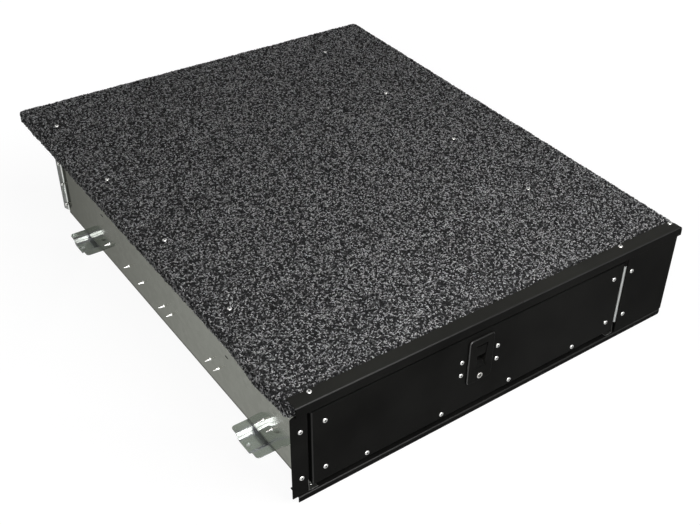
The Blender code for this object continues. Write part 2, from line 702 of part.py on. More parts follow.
def deck_screws_at(z):
    return [(side * DECK_SCREW_X, y, z) for side in (-1, 1) for y in DECK_SCREW_YS]


def deck_carpet(wool):
    """Carpet over the top and down the edges, pressed thin where the trim lies on it."""
    shape = bmesh.new()
    prism(shape, deck_outline(0), "Z", BOARD_BOTTOM, CARPET_TOP)
    made = place_mesh("deck_carpet", shape, wool)
    inside = bmesh.new()
    prism(inside, deck_outline(CARPET), "Z", BOARD_BOTTOM - OVERRUN, BOARD_TOP + GAP)
    cut(made, "board_space", inside)
    pressed = bmesh.new()
    back = -PLATE + TRIM_DEPTH
    box(pressed, (TRIM_LEFT - GAP, -OVERRUN, OVERALL_HEIGHT - PLATE - GAP),
        (TRIM_RIGHT + OVERRUN, back, CARPET_TOP + OVERRUN))
    cut(made, "trim_space", pressed)
    drill(made, "deck_screw_holes", deck_screws_at(BOARD_TOP), "Z", HEAD_RADIUS + GAP, CARPET)
    drill(made, "trim_holes", [(x, TRIM_SCREW_Y, BOARD_TOP) for x in TRIM_SCREW_XS], "Z",
          SHANK_RADIUS + GAP, CARPET)


def channel_profile(side, near, depth, height, sheet, opens_in, lip=0.0):
    """C section in (x, z); near is its distance from the web of the side panel."""
    def at(reach, up):
        return (side * (WEB_IN - reach), SLIDE_Z + up)
    half = height / 2
    web, tip = (near, near + depth) if opens_in else (near + depth, near)
    inner = web + sheet if opens_in else web - sheet
    outline = [at(web, half), at(tip, half)]
    if lip:
        fold = tip - sheet
        outline += [at(tip, half - sheet - lip), at(fold, half - sheet - lip), at(fold, half - sheet)]
    else:
        outline += [at(tip, half - sheet)]
    outline += [at(inner, half - sheet), at(inner, sheet - half)]
    if lip:
        outline += [at(fold, sheet - half), at(fold, sheet + lip - half), at(tip, sheet + lip - half)]
    else:
        outline += [at(tip, sheet - half)]
    return outline + [at(tip, -half), at(web, -half)]


def slide_heights():
    """Heights of the three nested slide members, each clear of the next by the run gap."""
    middle = SLIDE_HEIGHT - 2 * (PLATE + SLIDE_RUN_GAP)
    inner = middle - 2 * (RUNNER_SHEET + SLIDE_RUN_GAP)
    return SLIDE_HEIGHT, middle, inner


def slides(side, zinc):
    word = "left" if side < 0 else "right"
    outer_height, middle_height, inner_height = slide_heights()
    back = SLIDE_FRONT + SLIDE_LENGTH

    shape = bmesh.new()
    outer = channel_profile(side, GAP, SLIDE_DEPTH - GAP, outer_height, PLATE, True, SLIDE_LIP)
    prism(shape, outer, "Y", SLIDE_FRONT, back)
    made = place_mesh(f"slide_outer_{word}", shape, zinc)
    outward = "-X" if side < 0 else "X"
    add_slide_screws(made, [(side * HALF, y, SLIDE_Z) for y in SLIDE_SCREW_YS], outward,
                     GALVANISED + GAP + PLATE / 2)

    shape = bmesh.new()
    middle_near = GAP + PLATE + SLIDE_WEB_GAP
    middle = channel_profile(side, middle_near, MIDDLE_DEPTH, middle_height, RUNNER_SHEET, True)
    prism(shape, middle, "Y", SLIDE_FRONT, back)
    place_mesh(f"slide_middle_{word}", shape, zinc, f"runner_{word}")

    shape = bmesh.new()
    inner = channel_profile(side, SLIDE_SPACE - INNER_DEPTH, INNER_DEPTH, inner_height, RUNNER_SHEET, False)
    prism(shape, inner, "Y", SLIDE_FRONT, back)
    made = place_mesh(f"slide_inner_{word}", shape, zinc, "drawer")
    inward = "X" if side < 0 else "-X"
    add_slide_screws(made, [(side * BOX_IN, y, SLIDE_Z) for y in DRAWER_SLIDE_SCREW_YS], inward,
                     BOX_SHEET + GAP + RUNNER_SHEET / 2)


def add_slide_screws(target, seats, axis, shank):
    """Low heads that hold a slide member to a sheet, fixed in the member."""
    shape = bmesh.new()
    for seat in seats:
        button_screw(shape, seat, axis, shank, SMALL_HEAD_RADIUS, SMALL_HEAD_HEIGHT,
                     SMALL_SHANK_RADIUS, False, LOW_HEAD_SIDES)
    join(target, "screws", shape)


def drawer_side(side, steel):
    web_out = side * BOX_HALF
    web_in = side * BOX_IN
    foot = side * (BOX_HALF - BOX_BOTTOM_FLANGE)
    head = side * (BOX_HALF - BOX_TOP_FLANGE)
    outline = [(head, BOX_TOP), (web_out, BOX_TOP), (web_out, BOX_BOTTOM), (foot, BOX_BOTTOM),
               (foot, BOX_BOTTOM + BOX_SHEET), (web_in, BOX_BOTTOM + BOX_SHEET),
               (web_in, BOX_TOP - BOX_SHEET), (head, BOX_TOP - BOX_SHEET)]
    shape = bmesh.new()
    prism(shape, outline, "Y", SHEET_BACK, BOX_DEPTH)
    made = place_mesh("drawer_side_left" if side < 0 else "drawer_side_right", shape, steel, "drawer")
    front = bmesh.new()
    across = sorted((web_in + side * BOX_SHEET / 2, side * (BOX_HALF - BOX_FRONT_FLANGE)))
    box(front, (across[0], SHEET_BACK, BOX_BOTTOM), (across[1], SEAT_Y, BOX_TOP))
    join(made, "front_flange", front)
    drill(made, "face_holes", [(side * DRAWER_SCREW_X, SHEET_BACK, z) for z in FACE_SCREW_ZS], "Y",
          SHANK_RADIUS + GAP, BOX_SHEET)
    drill(made, "slide_holes", [(web_out, y, SLIDE_Z) for y in DRAWER_SLIDE_SCREW_YS],
          "X" if side < 0 else "-X", SMALL_SHANK_RADIUS + GAP, BOX_SHEET)
    drill(made, "floor_holes", [(x, y, BOX_BOTTOM) for x, y in floor_rivets(side)], "Z",
          RIVET_RADIUS + GAP, BOX_SHEET)
    drill(made, "back_holes", [(web_out, y, z) for y, z in back_rivets()],
          "X" if side < 0 else "-X", RIVET_RADIUS + GAP, BOX_SHEET)


def floor_rivets(side):
    return [(side * (BOX_IN - FLOOR_RIVET_INSET), y) for y in FLOOR_RIVET_YS]


def back_rivets():
    return [(BOX_DEPTH - BACK_FLANGE / 2, z) for z in BACK_RIVET_ZS]


def drawer_floor(steel):
    wide = BOX_IN - GAP
    narrow = BOX_HALF - BOX_FRONT_FLANGE - GAP
    outline = [(-narrow, SHEET_BACK), (narrow, SHEET_BACK), (narrow, SEAT_Y + GAP), (wide, SEAT_Y + GAP),
               (wide, BOX_DEPTH), (-wide, BOX_DEPTH), (-wide, SEAT_Y + GAP), (-narrow, SEAT_Y + GAP)]
    shape = bmesh.new()
    prism(shape, outline, "Z", FLOOR_BOTTOM, FLOOR_TOP)
    made = place_mesh("drawer_floor", shape, steel, "drawer")
    lip = bmesh.new()
    box(lip, (-narrow, SHEET_BACK, FLOOR_BOTTOM), (narrow, SEAT_Y, FLOOR_BOTTOM + FLOOR_LIP))
    join(made, "front_lip", lip)
    drill(made, "face_holes", [(x, SHEET_BACK, FLOOR_SCREW_Z) for x in FLOOR_SCREW_XS], "Y",
          SHANK_RADIUS + GAP, BOX_SHEET)
    seats = [(x, y, FLOOR_TOP) for side in (-1, 1) for x, y in floor_rivets(side)]
    add_rivets(made, seats, "Z", 2 * BOX_SHEET + GAP)


def drawer_back(steel):
    half = BOX_IN - GAP
    front = BOX_DEPTH - BACK_FLANGE
    outline = [(-half, front), (-half + BOX_SHEET, front), (-half + BOX_SHEET, BOX_DEPTH - BOX_SHEET),
               (half - BOX_SHEET, BOX_DEPTH - BOX_SHEET), (half - BOX_SHEET, front), (half, front),
               (half, BOX_DEPTH), (-half, BOX_DEPTH)]
    shape = bmesh.new()
    prism(shape, outline, "Z", FLOOR_TOP + GAP, BOX_TOP - BOX_SHEET - GAP)
    made = place_mesh("drawer_back", shape, steel, "drawer")
    for side, axis in ((-1, "-X"), (1, "X")):
        add_rivets(made, [(side * BOX_HALF, y, z) for y, z in back_rivets()], axis, 2 * BOX_SHEET + GAP)


def drawer_liner(wool):
    half = BOX_IN - LINER_MARGIN
    shape = bmesh.new()
    box(shape, (-half, LINER_SETBACK, FLOOR_TOP + GAP),
        (half, BOX_DEPTH - BACK_FLANGE - GAP, FLOOR_TOP + GAP + LINER))
    place_mesh("drawer_liner", shape, wool, "drawer")


def drawer_front(black):
    """Front plate folded back all round, with the cut-out that the latch fills."""
    half = FRONT_WIDTH / 2
    shape = bmesh.new()
    box(shape, (-half, 0, FRONT_BOTTOM), (half, FRONT_RETURN, FRONT_TOP))
    made = place_mesh("drawer_front", shape, black, "drawer")
    hollow = bmesh.new()
    box(hollow, (PLATE - half, PLATE, FRONT_BOTTOM + PLATE),
        (half - PLATE, FRONT_RETURN + OVERRUN, FRONT_TOP - PLATE))
    cut(made, "hollow", hollow)
    window = bmesh.new()
    prism(window, boss_outline(GAP), "Y", -OVERRUN, PLATE + OVERRUN)
    cut(made, "latch_window", window)
    holes = [(side * DRAWER_SCREW_X, 0, z) for side in (-1, 1) for z in FACE_SCREW_ZS]
    holes += [(x, 0, FLOOR_SCREW_Z) for x in FLOOR_SCREW_XS] + latch_screws_at(0)
    drill(made, "screw_holes", holes, "Y", SHANK_RADIUS + GAP, PLATE)


def latch_screws_at(y):
    return [(LATCH_X + side * LATCH_SCREW_SPREAD, y, z) for side in (-1, 1) for z in LATCH_SCREW_ZS]


def boss_outline(spread):
    half = BOSS_WIDTH / 2 + spread
    return rounded_rectangle(LATCH_X - half, LATCH_X + half, HOUSING_LOW + BOSS_MARGIN - spread,
                             HOUSING_HIGH - BOSS_MARGIN + spread, HOUSING_CORNER,
                             BOSS_CORNER_STEPS)


def latch_housing(black):
    half = HOUSING_WIDTH / 2
    shape = bmesh.new()
    outline = rounded_rectangle(LATCH_X - half, LATCH_X + half, HOUSING_LOW, HOUSING_HIGH,
                                HOUSING_CORNER, HOUSING_CORNER_STEPS)
    prism(shape, outline, "Y", FRONT_FACE, -GAP)
    made = place_mesh("latch_housing", shape, black, "drawer")
    boss = bmesh.new()
    prism(boss, boss_outline(0), "Y", FRONT_FACE + HOUSING_PROUD / 2, BOSS_DEPTH)
    join(made, "boss", boss)
    recess = bmesh.new()
    inner = RECESS_WIDTH / 2
    outline = rounded_rectangle(LATCH_X - inner, LATCH_X + inner, RECESS_LOW, RECESS_HIGH, RECESS_CORNER,
                                RECESS_CORNER_STEPS)
    prism(recess, outline, "Y", FRONT_FACE - OVERRUN, RECESS_DEPTH)
    cut(made, "recess", recess)
    drill(made, "lock_bore", [(LOCK_X, FRONT_FACE, LOCK_Z)], "Y", LOCK_RADIUS + GAP,
          BOSS_DEPTH + HOUSING_PROUD)
    pin = bmesh.new()
    cylinder(pin, (LATCH_X - PIN_HALF - GAP, PIN_Y, PIN_Z), "X", PIN_RADIUS + GAP, 2 * (PIN_HALF + GAP),
             HOLE_SIDES)
    cut(made, "pin_bore", pin)
    slot = bmesh.new()
    arm = ARM_WIDTH / 2 + PADDLE_INSET
    box(slot, (LATCH_X - arm, RECESS_DEPTH - OVERRUN / 2, PIN_Z - ARM_SLOT_DROP),
        (LATCH_X + arm, BOSS_DEPTH + OVERRUN, PIN_Z + ARM_THICK / 2 + PADDLE_INSET))
    cut(made, "arm_slot", slot)


def latch_paddle(black):
    """Finger paddle on a pin, whose rear arm draws the bolt down."""
    half = RECESS_WIDTH / 2 - GAP
    front = FRONT_FACE + PADDLE_INSET
    shape = bmesh.new()
    outline = [(front, PADDLE_LOW), (front + PADDLE_PLATE, PADDLE_LOW),
               (front + PADDLE_PLATE, PIN_Z - PADDLE_EYE)]
    for step in range(EYE_STEPS + 1):
        angle = -math.pi / 2 + math.pi * step / EYE_STEPS
        outline.append((PIN_Y + PADDLE_EYE * math.cos(angle), PIN_Z + PADDLE_EYE * math.sin(angle)))
    outline += [(front + PADDLE_PLATE, PADDLE_HIGH), (front + PADDLE_INSET / 2, PADDLE_HIGH),
                (front, PADDLE_HIGH - PADDLE_INSET / 2)]
    prism(shape, outline, "X", LATCH_X - half, LATCH_X + half)
    made = place_mesh("latch_paddle", shape, black, "paddle")
    arm = bmesh.new()
    box(arm, (LATCH_X - ARM_WIDTH / 2, PIN_Y, PIN_Z - ARM_THICK / 2),
        (LATCH_X + ARM_WIDTH / 2, PIN_Y + ARM_REACH, PIN_Z + ARM_THICK / 2))
    join(made, "arm", arm)
    drill(made, "pin_bore", [(LATCH_X - half, PIN_Y, PIN_Z)], "X", PIN_RADIUS + GAP, 2 * half)


def paddle_pin(steel):
    shape = bmesh.new()
    cylinder(shape, (LATCH_X - PIN_HALF, PIN_Y, PIN_Z), "X", PIN_RADIUS, 2 * PIN_HALF)
    place_mesh("paddle_pin", shape, steel, "drawer")


def latch_bolt(steel):
    half = BOLT_WIDTH / 2
    shape = bmesh.new()
    box(shape, (LATCH_X - half, BOLT_FRONT, BOLT_LOW), (LATCH_X + half, BOLT_FRONT + BOLT_THICK, BOLT_HIGH))
    round_edges(shape, "Y", [(LATCH_X - half, BOLT_HIGH), (LATCH_X + half, BOLT_HIGH)], BOLT_THICK / 2, 2)
    made = place_mesh("latch_bolt", shape, steel, "bolt")
    window = bmesh.new()
    arm = ARM_WIDTH / 2 + GAP
    box(window, (LATCH_X - arm, BOLT_FRONT - OVERRUN, PIN_Z - BOLT_WINDOW / 2),
        (LATCH_X + arm, BOLT_FRONT + BOLT_THICK + OVERRUN, PIN_Z + BOLT_WINDOW / 2))
    cut(made, "arm_window", window)


def latch_bracket(steel):
    """Strap behind the latch that carries the bolt between two ribs."""
    half = BRACKET_WIDTH / 2
    bridge = BRACKET_BRIDGE / 2
    back = BOLT_FRONT + BOLT_THICK + GAP
    outline = [(-half, SHEET_BACK), (-bridge, SHEET_BACK), (-bridge, back), (bridge, back),
               (bridge, SHEET_BACK), (half, SHEET_BACK), (half, SHEET_BACK + PLATE),
               (bridge + PLATE, SHEET_BACK + PLATE), (bridge + PLATE, back + PLATE),
               (-bridge - PLATE, back + PLATE), (-bridge - PLATE, SHEET_BACK + PLATE),
               (-half, SHEET_BACK + PLATE)]
    shape = bmesh.new()
    prism(shape, [(LATCH_X + x, y) for x, y in outline], "Z", BRACKET_LOW, BRACKET_HIGH)
    made = place_mesh("latch_bracket", shape, steel, "drawer")
    for side in (-1, 1):
        rib = bmesh.new()
        near = BOLT_WIDTH / 2 + GAP
        across = sorted((LATCH_X + side * near, LATCH_X + side * (near + GUIDE_RIB)))
        box(rib, (across[0], BOLT_FRONT, BRACKET_LOW + BRACKET_RIB_SETBACK),
            (across[1], back + PLATE / 2, BRACKET_HIGH))
        join(made, "rib_left" if side < 0 else "rib_right", rib)
    drill(made, "screw_holes", latch_screws_at(SHEET_BACK), "Y", SHANK_RADIUS + GAP, PLATE)


def lock_cylinder(brass):
    shape = bmesh.new()
    edge = LOCK_RADIUS * LOCK_EDGE_SHARE
    profile = [(0, 0), (edge, 0), (LOCK_RADIUS, LOCK_RADIUS - edge), (LOCK_RADIUS, LOCK_LENGTH - GAP),
               (CAM_POST, LOCK_LENGTH - GAP), (CAM_POST, LOCK_LENGTH + CAM_THICK + GAP),
               (0, LOCK_LENGTH + CAM_THICK + GAP)]
    turned(shape, (LOCK_X, PROUD_FACE, LOCK_Z), "Y", profile, LOCK_SIDES)
    made = place_mesh("lock_cylinder", shape, brass, "lock")
    keyway = bmesh.new()
    box(keyway, (LOCK_X - KEYWAY_WIDTH / 2, PROUD_FACE - OVERRUN, LOCK_Z - KEYWAY_HEIGHT / 2),
        (LOCK_X + KEYWAY_WIDTH / 2, PROUD_FACE + KEYWAY_DEPTH, LOCK_Z + KEYWAY_HEIGHT / 2))
    cut(made, "keyway", keyway)


def lock_cam(steel):
    """Cam behind the lock, pointing aside when open."""
    start = PROUD_FACE + LOCK_LENGTH
    shape = bmesh.new()
    outline = [(LOCK_X, LOCK_Z - CAM_HUB), (LOCK_X + CAM_REACH, LOCK_Z - CAM_POST),
               (LOCK_X + CAM_REACH, LOCK_Z + CAM_POST), (LOCK_X, LOCK_Z + CAM_HUB)]
    for step in range(1, CAM_STEPS):
        angle = math.pi / 2 + math.pi * step / CAM_STEPS
        outline.append((LOCK_X + CAM_HUB * math.cos(angle), LOCK_Z + CAM_HUB * math.sin(angle)))
    prism(shape, outline, "Y", start, start + CAM_THICK)
    made = place_mesh("lock_cam", shape, steel, "lock")
    drill(made, "post_bore", [(LOCK_X, start, LOCK_Z)], "Y", CAM_POST + GAP, CAM_THICK)


def striker_screw_xs():
    return [LATCH_X + side * STRIKER_SCREW_SPREAD for side in (-1, 1)]


def striker_screw_y():
    return STRIKER_BACK - STRIKER_DEPTH / 2 - GALVANISED / 2


def striker_plate(steel):
    """Angle under the deck; the bolt rises behind its lip."""
    front = STRIKER_BACK - STRIKER_DEPTH
    top = DECK_BOTTOM
    outline = [(front, top), (front, top - GALVANISED), (STRIKER_BACK - GALVANISED, top - GALVANISED),
               (STRIKER_BACK - GALVANISED, STRIKER_LOW), (STRIKER_BACK, STRIKER_LOW), (STRIKER_BACK, top)]
    shape = bmesh.new()
    prism(shape, outline, "X", LATCH_X - STRIKER_WIDTH / 2, LATCH_X + STRIKER_WIDTH / 2)
    made = place_mesh("striker_plate", shape, steel)
    drill(made, "screw_holes", [(x, striker_screw_y(), top - GALVANISED) for x in striker_screw_xs()],
          "Z", SMALL_SHANK_RADIUS + GAP, GALVANISED)


def place_screws(name, seats, axis, shank, material, carrier="cabinet", small=False):
    """One object for each screw, all sharing a mesh that is drawn about its seat."""
    shape = bmesh.new()
    origin = Vector((0, 0, 0))
    if small:
        button_screw(shape, origin, axis, shank, SMALL_HEAD_RADIUS, SMALL_HEAD_HEIGHT, SMALL_SHANK_RADIUS)
    else:
        button_screw(shape, origin, axis, shank)
    first = place_mesh(f"{name}_1", shape, material, carrier, origin)
    held_at = ANCHORS[carrier][1]
    for number, seat in enumerate(seats, 1):
        made = first
        if number > 1:
            made = bpy.data.objects.new(f"{name}_{number}", first.data)
            bpy.context.collection.objects.link(made)
            made.parent = first.parent
        made.location = Vector(seat) - held_at


def fasteners(zinc):
    face = [(x, 0, z) for x in (POST_SCREW_X, PANEL_SCREW_X) for z in FACE_SCREW_ZS]
    place_screws("face_screw", face, "-Y", FACE_SHANK, zinc)
    front = [(side * DRAWER_SCREW_X, 0, z) for side in (-1, 1) for z in FACE_SCREW_ZS]
    front += [(x, 0, FLOOR_SCREW_Z) for x in FLOOR_SCREW_XS]
    place_screws("drawer_screw", front, "-Y", FACE_SHANK, zinc, "drawer")
    place_screws("latch_screw", latch_screws_at(0), "-Y", FACE_SHANK, zinc, "drawer")
    place_screws("trim_screw", [(x, TRIM_SCREW_Y, OVERALL_HEIGHT) for x in TRIM_SCREW_XS], "Z",
                 WOOD_SHANK, zinc)
    deck_shank = BOARD_TOP - SIDE_TOP + GALVANISED + NUT_HEIGHT + DECK_SHANK_SPARE
    place_screws("deck_screw", deck_screws_at(BOARD_TOP), "Z", deck_shank, zinc)
    striker = [(x, striker_screw_y(), DECK_BOTTOM - GALVANISED) for x in striker_screw_xs()]
    place_screws("striker_screw", striker, "-Z", WOOD_SHANK - OVERRUN, zinc, small=True)


def build():
    clear_scene()
    anchor("cabinet", Vector((0, 0, 0)))
    ANCHORS["cabinet"][0].location = (-CENTRE_X, -CENTRE_Y, 0)
    anchor("drawer", Vector((0, SLIDE_FRONT, SLIDE_Z)), "cabinet")
    for side, word in ((-1, "left"), (1, "right")):
        anchor(f"runner_{word}", Vector((side * WEB_IN, SLIDE_FRONT, SLIDE_Z)), "cabinet")
    anchor("paddle", Vector((LATCH_X, PIN_Y, PIN_Z)), "drawer")
    anchor("bolt", Vector((LATCH_X, BOLT_FRONT, BOLT_LOW)), "drawer")
    anchor("lock", Vector((LOCK_X, PROUD_FACE, LOCK_Z)), "drawer")

    galvanised = finish("galvanised_steel", (0.36, 0.38, 0.35), 0.38, 0.9)
    black = finish("black_powder_coat", (0.012, 0.012, 0.012), 0.32, 0.0)
    zinc = finish("zinc_plated_steel", (0.55, 0.55, 0.55), 0.28, 1.0)
    box_steel = finish("drawer_box_steel", (0.34, 0.35, 0.34), 0.42, 0.9)
    plywood = finish("plywood", (0.42, 0.30, 0.17), 0.7, 0.0)
    wool = finish("charcoal_fleck_carpet", (0.045, 0.046, 0.048), 0.95, 0.0)
    chrome = finish("lock_nickel", (0.6, 0.59, 0.56), 0.22, 1.0)

    for side in (-1, 1):
        side_panel(side, galvanised)
        slides(side, zinc)
        drawer_side(side, box_steel)
    for name, start in zip(("cross_member_front", "cross_member_rear"), MEMBER_STARTS):
        cross_member(name, start, galvanised)
    rear_panel(galvanised)
    bottom_rail(black)
    face_post(black)
    face_panel(black)
    top_trim(black)
    deck_board(plywood)
    deck_carpet(wool)
    striker_plate(zinc)
    drawer_floor(box_steel)
    drawer_back(box_steel)
    drawer_liner(wool)
    drawer_front(black)
    latch_housing(black)
    latch_bracket(zinc)
    paddle_pin(zinc)
    latch_paddle(black)
    latch_bolt(zinc)
    lock_cylinder(chrome)
    lock_cam(zinc)
    fasteners(zinc)


build()
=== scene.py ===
import math

import bmesh
import bpy
from mathutils import Matrix, Vector, noise


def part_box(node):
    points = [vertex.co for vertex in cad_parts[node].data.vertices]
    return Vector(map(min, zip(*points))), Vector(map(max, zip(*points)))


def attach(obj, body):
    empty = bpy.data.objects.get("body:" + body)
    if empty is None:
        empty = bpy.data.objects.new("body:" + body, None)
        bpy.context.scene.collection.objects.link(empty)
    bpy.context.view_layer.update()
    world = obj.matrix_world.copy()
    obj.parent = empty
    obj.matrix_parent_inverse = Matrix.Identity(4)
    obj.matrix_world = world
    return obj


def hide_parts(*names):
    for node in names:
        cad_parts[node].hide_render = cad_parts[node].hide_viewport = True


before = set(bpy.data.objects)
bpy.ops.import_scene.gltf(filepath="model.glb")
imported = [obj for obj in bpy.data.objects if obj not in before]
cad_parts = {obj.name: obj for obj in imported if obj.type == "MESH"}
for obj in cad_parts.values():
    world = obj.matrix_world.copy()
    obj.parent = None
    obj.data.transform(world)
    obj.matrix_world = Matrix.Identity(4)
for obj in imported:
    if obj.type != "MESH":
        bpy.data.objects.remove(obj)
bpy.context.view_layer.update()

# Sizes are in metres from the cabinet's centre line (x), the front plates' face (y) and the
# floor (z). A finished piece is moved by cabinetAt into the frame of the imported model.
memberLow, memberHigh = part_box("cross_member_front")
cabinetAt = Vector(((memberLow.x + memberHigh.x) / 2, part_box("face_post")[0].y, 0))
gap = 0.0003
halfWidth = 0.4024
black = "black_coat"
zinc = "runner_steel"
screwZinc = "bright_zinc"
galvanised = "galvanised"
hands = ((-1, "Left"), (1, "Right"))
boxSteel = "box_steel"


# materials

def newFinish(name, colour, roughness, metallic=0.0):
    made = bpy.data.materials.new(name)
    made.use_nodes = True
    tree = made.node_tree
    shader = tree.nodes["Principled BSDF"]
    shader.inputs["Base Color"].default_value = (*colour, 1)
    shader.inputs["Roughness"].default_value = roughness
    shader.inputs["Metallic"].default_value = metallic
    made.diffuse_color = (*colour, 1)
    return made, tree, shader


def addNode(tree, kind, sockets=None, **settings):
    made = tree.nodes.new(kind)
    for key, value in settings.items():
        setattr(made, key, value)
    for key, value in (sockets or {}).items():
        if isinstance(value, bpy.types.NodeSocket):
            tree.links.new(value, made.inputs[key])
        else:
            made.inputs[key].default_value = value
    return made


def patternPlace(tree, stretch=(1, 1, 1)):
    where = addNode(tree, "ShaderNodeTexCoord").outputs["Object"]
    return addNode(tree, "ShaderNodeMapping", {"Vector": where, "Scale": stretch}).outputs["Vector"]


def noisePattern(tree, where, scale, detail, **sockets):
    sockets.update(Vector=where, Scale=scale, Detail=detail)
    return addNode(tree, "ShaderNodeTexNoise", sockets).outputs["Fac"]


def splitVector(tree, vector):
    return addNode(tree, "ShaderNodeSeparateXYZ", {"Vector": vector}).outputs


def calculate(tree, operation, *values, kind="ShaderNodeMath"):
    return addNode(tree, kind, dict(enumerate(values)), operation=operation).outputs[0]


# A ramp from one colour to another as the factor goes from start to end.
def blendColours(tree, factor, low, high, start=0.0, end=1.0):
    ramp = addNode(tree, "ShaderNodeValToRGB", {"Fac": factor})
    for element, position, colour in zip(ramp.color_ramp.elements, (start, end), (low, high)):
        element.position = position
        element.color = (*colour, 1)
    return ramp.outputs["Color"]


def spread(tree, value, low, high, start=0.0, end=1.0):
    return addNode(tree, "ShaderNodeMapRange", {
        "Value": value, "From Min": start, "From Max": end, "To Min": low, "To Max": high,
    }).outputs["Result"]


def paint(tree, shader, colour, roughness):
    tree.links.new(colour, shader.inputs["Base Color"])
    tree.links.new(roughness, shader.inputs["Roughness"])


def addRelief(tree, shader, height, strength, distance):
    bump = addNode(tree, "ShaderNodeBump", {"Height": height, "Strength": strength, "Distance": distance})
    tree.links.new(bump.outputs["Normal"], shader.inputs["Normal"])


# Zinc-coated sheet: faint spangle, rolling marks and hand marks, with painted shade that darkens it towards the
# back and the top and along given dark lines.
def sheetFinish(name, look):
    made, tree, shader = newFinish(name, look["colour"], look["roughness"], look["metal"])
    shader.inputs["Specular Tint"].default_value = (*look["edgeTint"], 1)
    where = patternPlace(tree)
    cells = addNode(tree, "ShaderNodeTexVoronoi", {"Vector": where, "Scale": look["spangles"]})
    tone = addNode(tree, "ShaderNodeSeparateColor", {"Color": cells.outputs["Color"]}).outputs["Red"]
    cloud = noisePattern(tree, where, 7.0, 4.0)
    rolled = noisePattern(tree, patternPlace(tree, look["rolling"]), 1.0, 3.0)
    mixed = calculate(tree, "MULTIPLY_ADD", tone, cloud, 0.2)
    low = [part * (1 - look["contrast"]) for part in look["colour"]]
    high = [min(part * (1 + look["contrast"]), 1) for part in look["colour"]]
    place = splitVector(tree, where)
    # painted shade: the colour is scaled down towards the back and the top and along each shade line
    paintedShade = calculate(tree, "MULTIPLY", spread(tree, place["Y"], 1.0, look["backShade"], *look["backSpan"]),
                     spread(tree, place["Z"], 1.0, look["topShade"], *look["topSpan"]))
    for height, shade, near, far in look["shadeLines"]:
        off = calculate(tree, "ABSOLUTE", calculate(tree, "SUBTRACT", place["Z"], height))
        paintedShade = calculate(tree, "MULTIPLY", paintedShade, spread(tree, off, shade, 1.0, near, far))
    shadedTone = addNode(tree, "ShaderNodeVectorMath", {
        0: blendColours(tree, mixed, low, high, 0.1, 0.8), "Scale": paintedShade}, operation="SCALE")
    rough = spread(tree, calculate(tree, "ADD", cloud, rolled), look["roughness"] - 0.03,
                   look["roughness"] + 0.05, 0.6, 1.4)
    paint(tree, shader, shadedTone.outputs["Vector"], rough)
    addRelief(tree, shader, rolled, look["relief"], 0.0002)
    return made


# Satin black powder coat with a fine orange peel.
def blackFinish(name, look):
    made, tree, shader = newFinish(name, look["colour"], look["roughness"])
    shader.inputs["IOR"].default_value = look["index"]
    where = patternPlace(tree)
    smear = noisePattern(tree, where, 9.0, 5.0)
    paint(tree, shader, blendColours(tree, smear, look["dark"], look["light"], 0.3, 0.7),
          spread(tree, smear, look["roughness"] - 0.05, look["roughness"] + 0.07, 0.3, 0.7))
    addRelief(tree, shader, noisePattern(tree, where, look["peel"], 2.0), look["relief"], 0.0002)
    return made


# Bright plated steel with fine grain.
def platedFinish(name, colour, dark, roughness, fineness):
    made, tree, shader = newFinish(name, colour, roughness, 1.0)
    grain = noisePattern(tree, patternPlace(tree), fineness, 3.0)
    paint(tree, shader, blendColours(tree, grain, dark, colour, 0.25, 0.65),
          spread(tree, grain, roughness * 0.75, roughness * 1.25, 0.3, 0.7))
    addRelief(tree, shader, grain, 0.05, 0.0001)
    return made


# Plywood: grain on the faces and layers along z on the edges.
def plyFinish(name, look):
    made, tree, shader = newFinish(name, look["light"], look["roughness"])
    grain = noisePattern(tree, patternPlace(tree, look["stretch"]), 3.0, 8.0, Distortion=1.2)
    face = blendColours(tree, grain, look["dark"], look["light"], 0.3, 0.7)
    up = splitVector(tree, patternPlace(tree))["Z"]
    dark = calculate(tree, "LESS_THAN", calculate(tree, "MODULO", up, look["layer"] * 2), look["layer"])
    normal = addNode(tree, "ShaderNodeNewGeometry").outputs["Normal"]
    facing = splitVector(tree, normal)["Z"]
    edge = calculate(tree, "LESS_THAN", calculate(tree, "ABSOLUTE", facing), 0.5)
    mixed = addNode(tree, "ShaderNodeMix", {"Factor": calculate(tree, "MULTIPLY", edge, dark), "A": face,
                                            "B": (*look["cross"], 1)}, data_type="RGBA")
    tree.links.new(mixed.outputs[2], shader.inputs["Base Color"])
    addRelief(tree, shader, grain, 0.3, 0.0004)
    return made


# The felted ground of the carpet, mottled like the yarns that stand in it.
def backingFinish(name, look):
    made, tree, shader = newFinish(name, look["dark"], 1.0)
    shader.inputs["Specular IOR Level"].default_value = 0.1
    where = patternPlace(tree)
    wisps = noisePattern(tree, where, look["wisps"], 3.0, Roughness=0.65, Distortion=1.5)
    paint(tree, shader, blendColours(tree, wisps, look["dark"], look["light"], 0.46, 0.66),
          spread(tree, noisePattern(tree, where, 14.0, 2.0), 0.9, 1.0))
    addRelief(tree, shader, wisps, 0.8, 0.002)
    return made


# A yarn's shade comes from its own random value, so no two neighbours match.
def yarnFinish(name, look):
    made, tree, shader = newFinish(name, look["dark"], 0.9)
    shader.inputs["Specular IOR Level"].default_value = 0.15
    shade = addNode(tree, "ShaderNodeAttribute", attribute_name="yarnShade").outputs["Fac"]
    fibre = noisePattern(tree, patternPlace(tree), 900.0, 2.0)
    paint(tree, shader, blendColours(tree, shade, look["dark"], look["light"]),
          spread(tree, fibre, 0.75, 1.0))
    addRelief(tree, shader, fibre, 0.6, 0.0005)
    return made
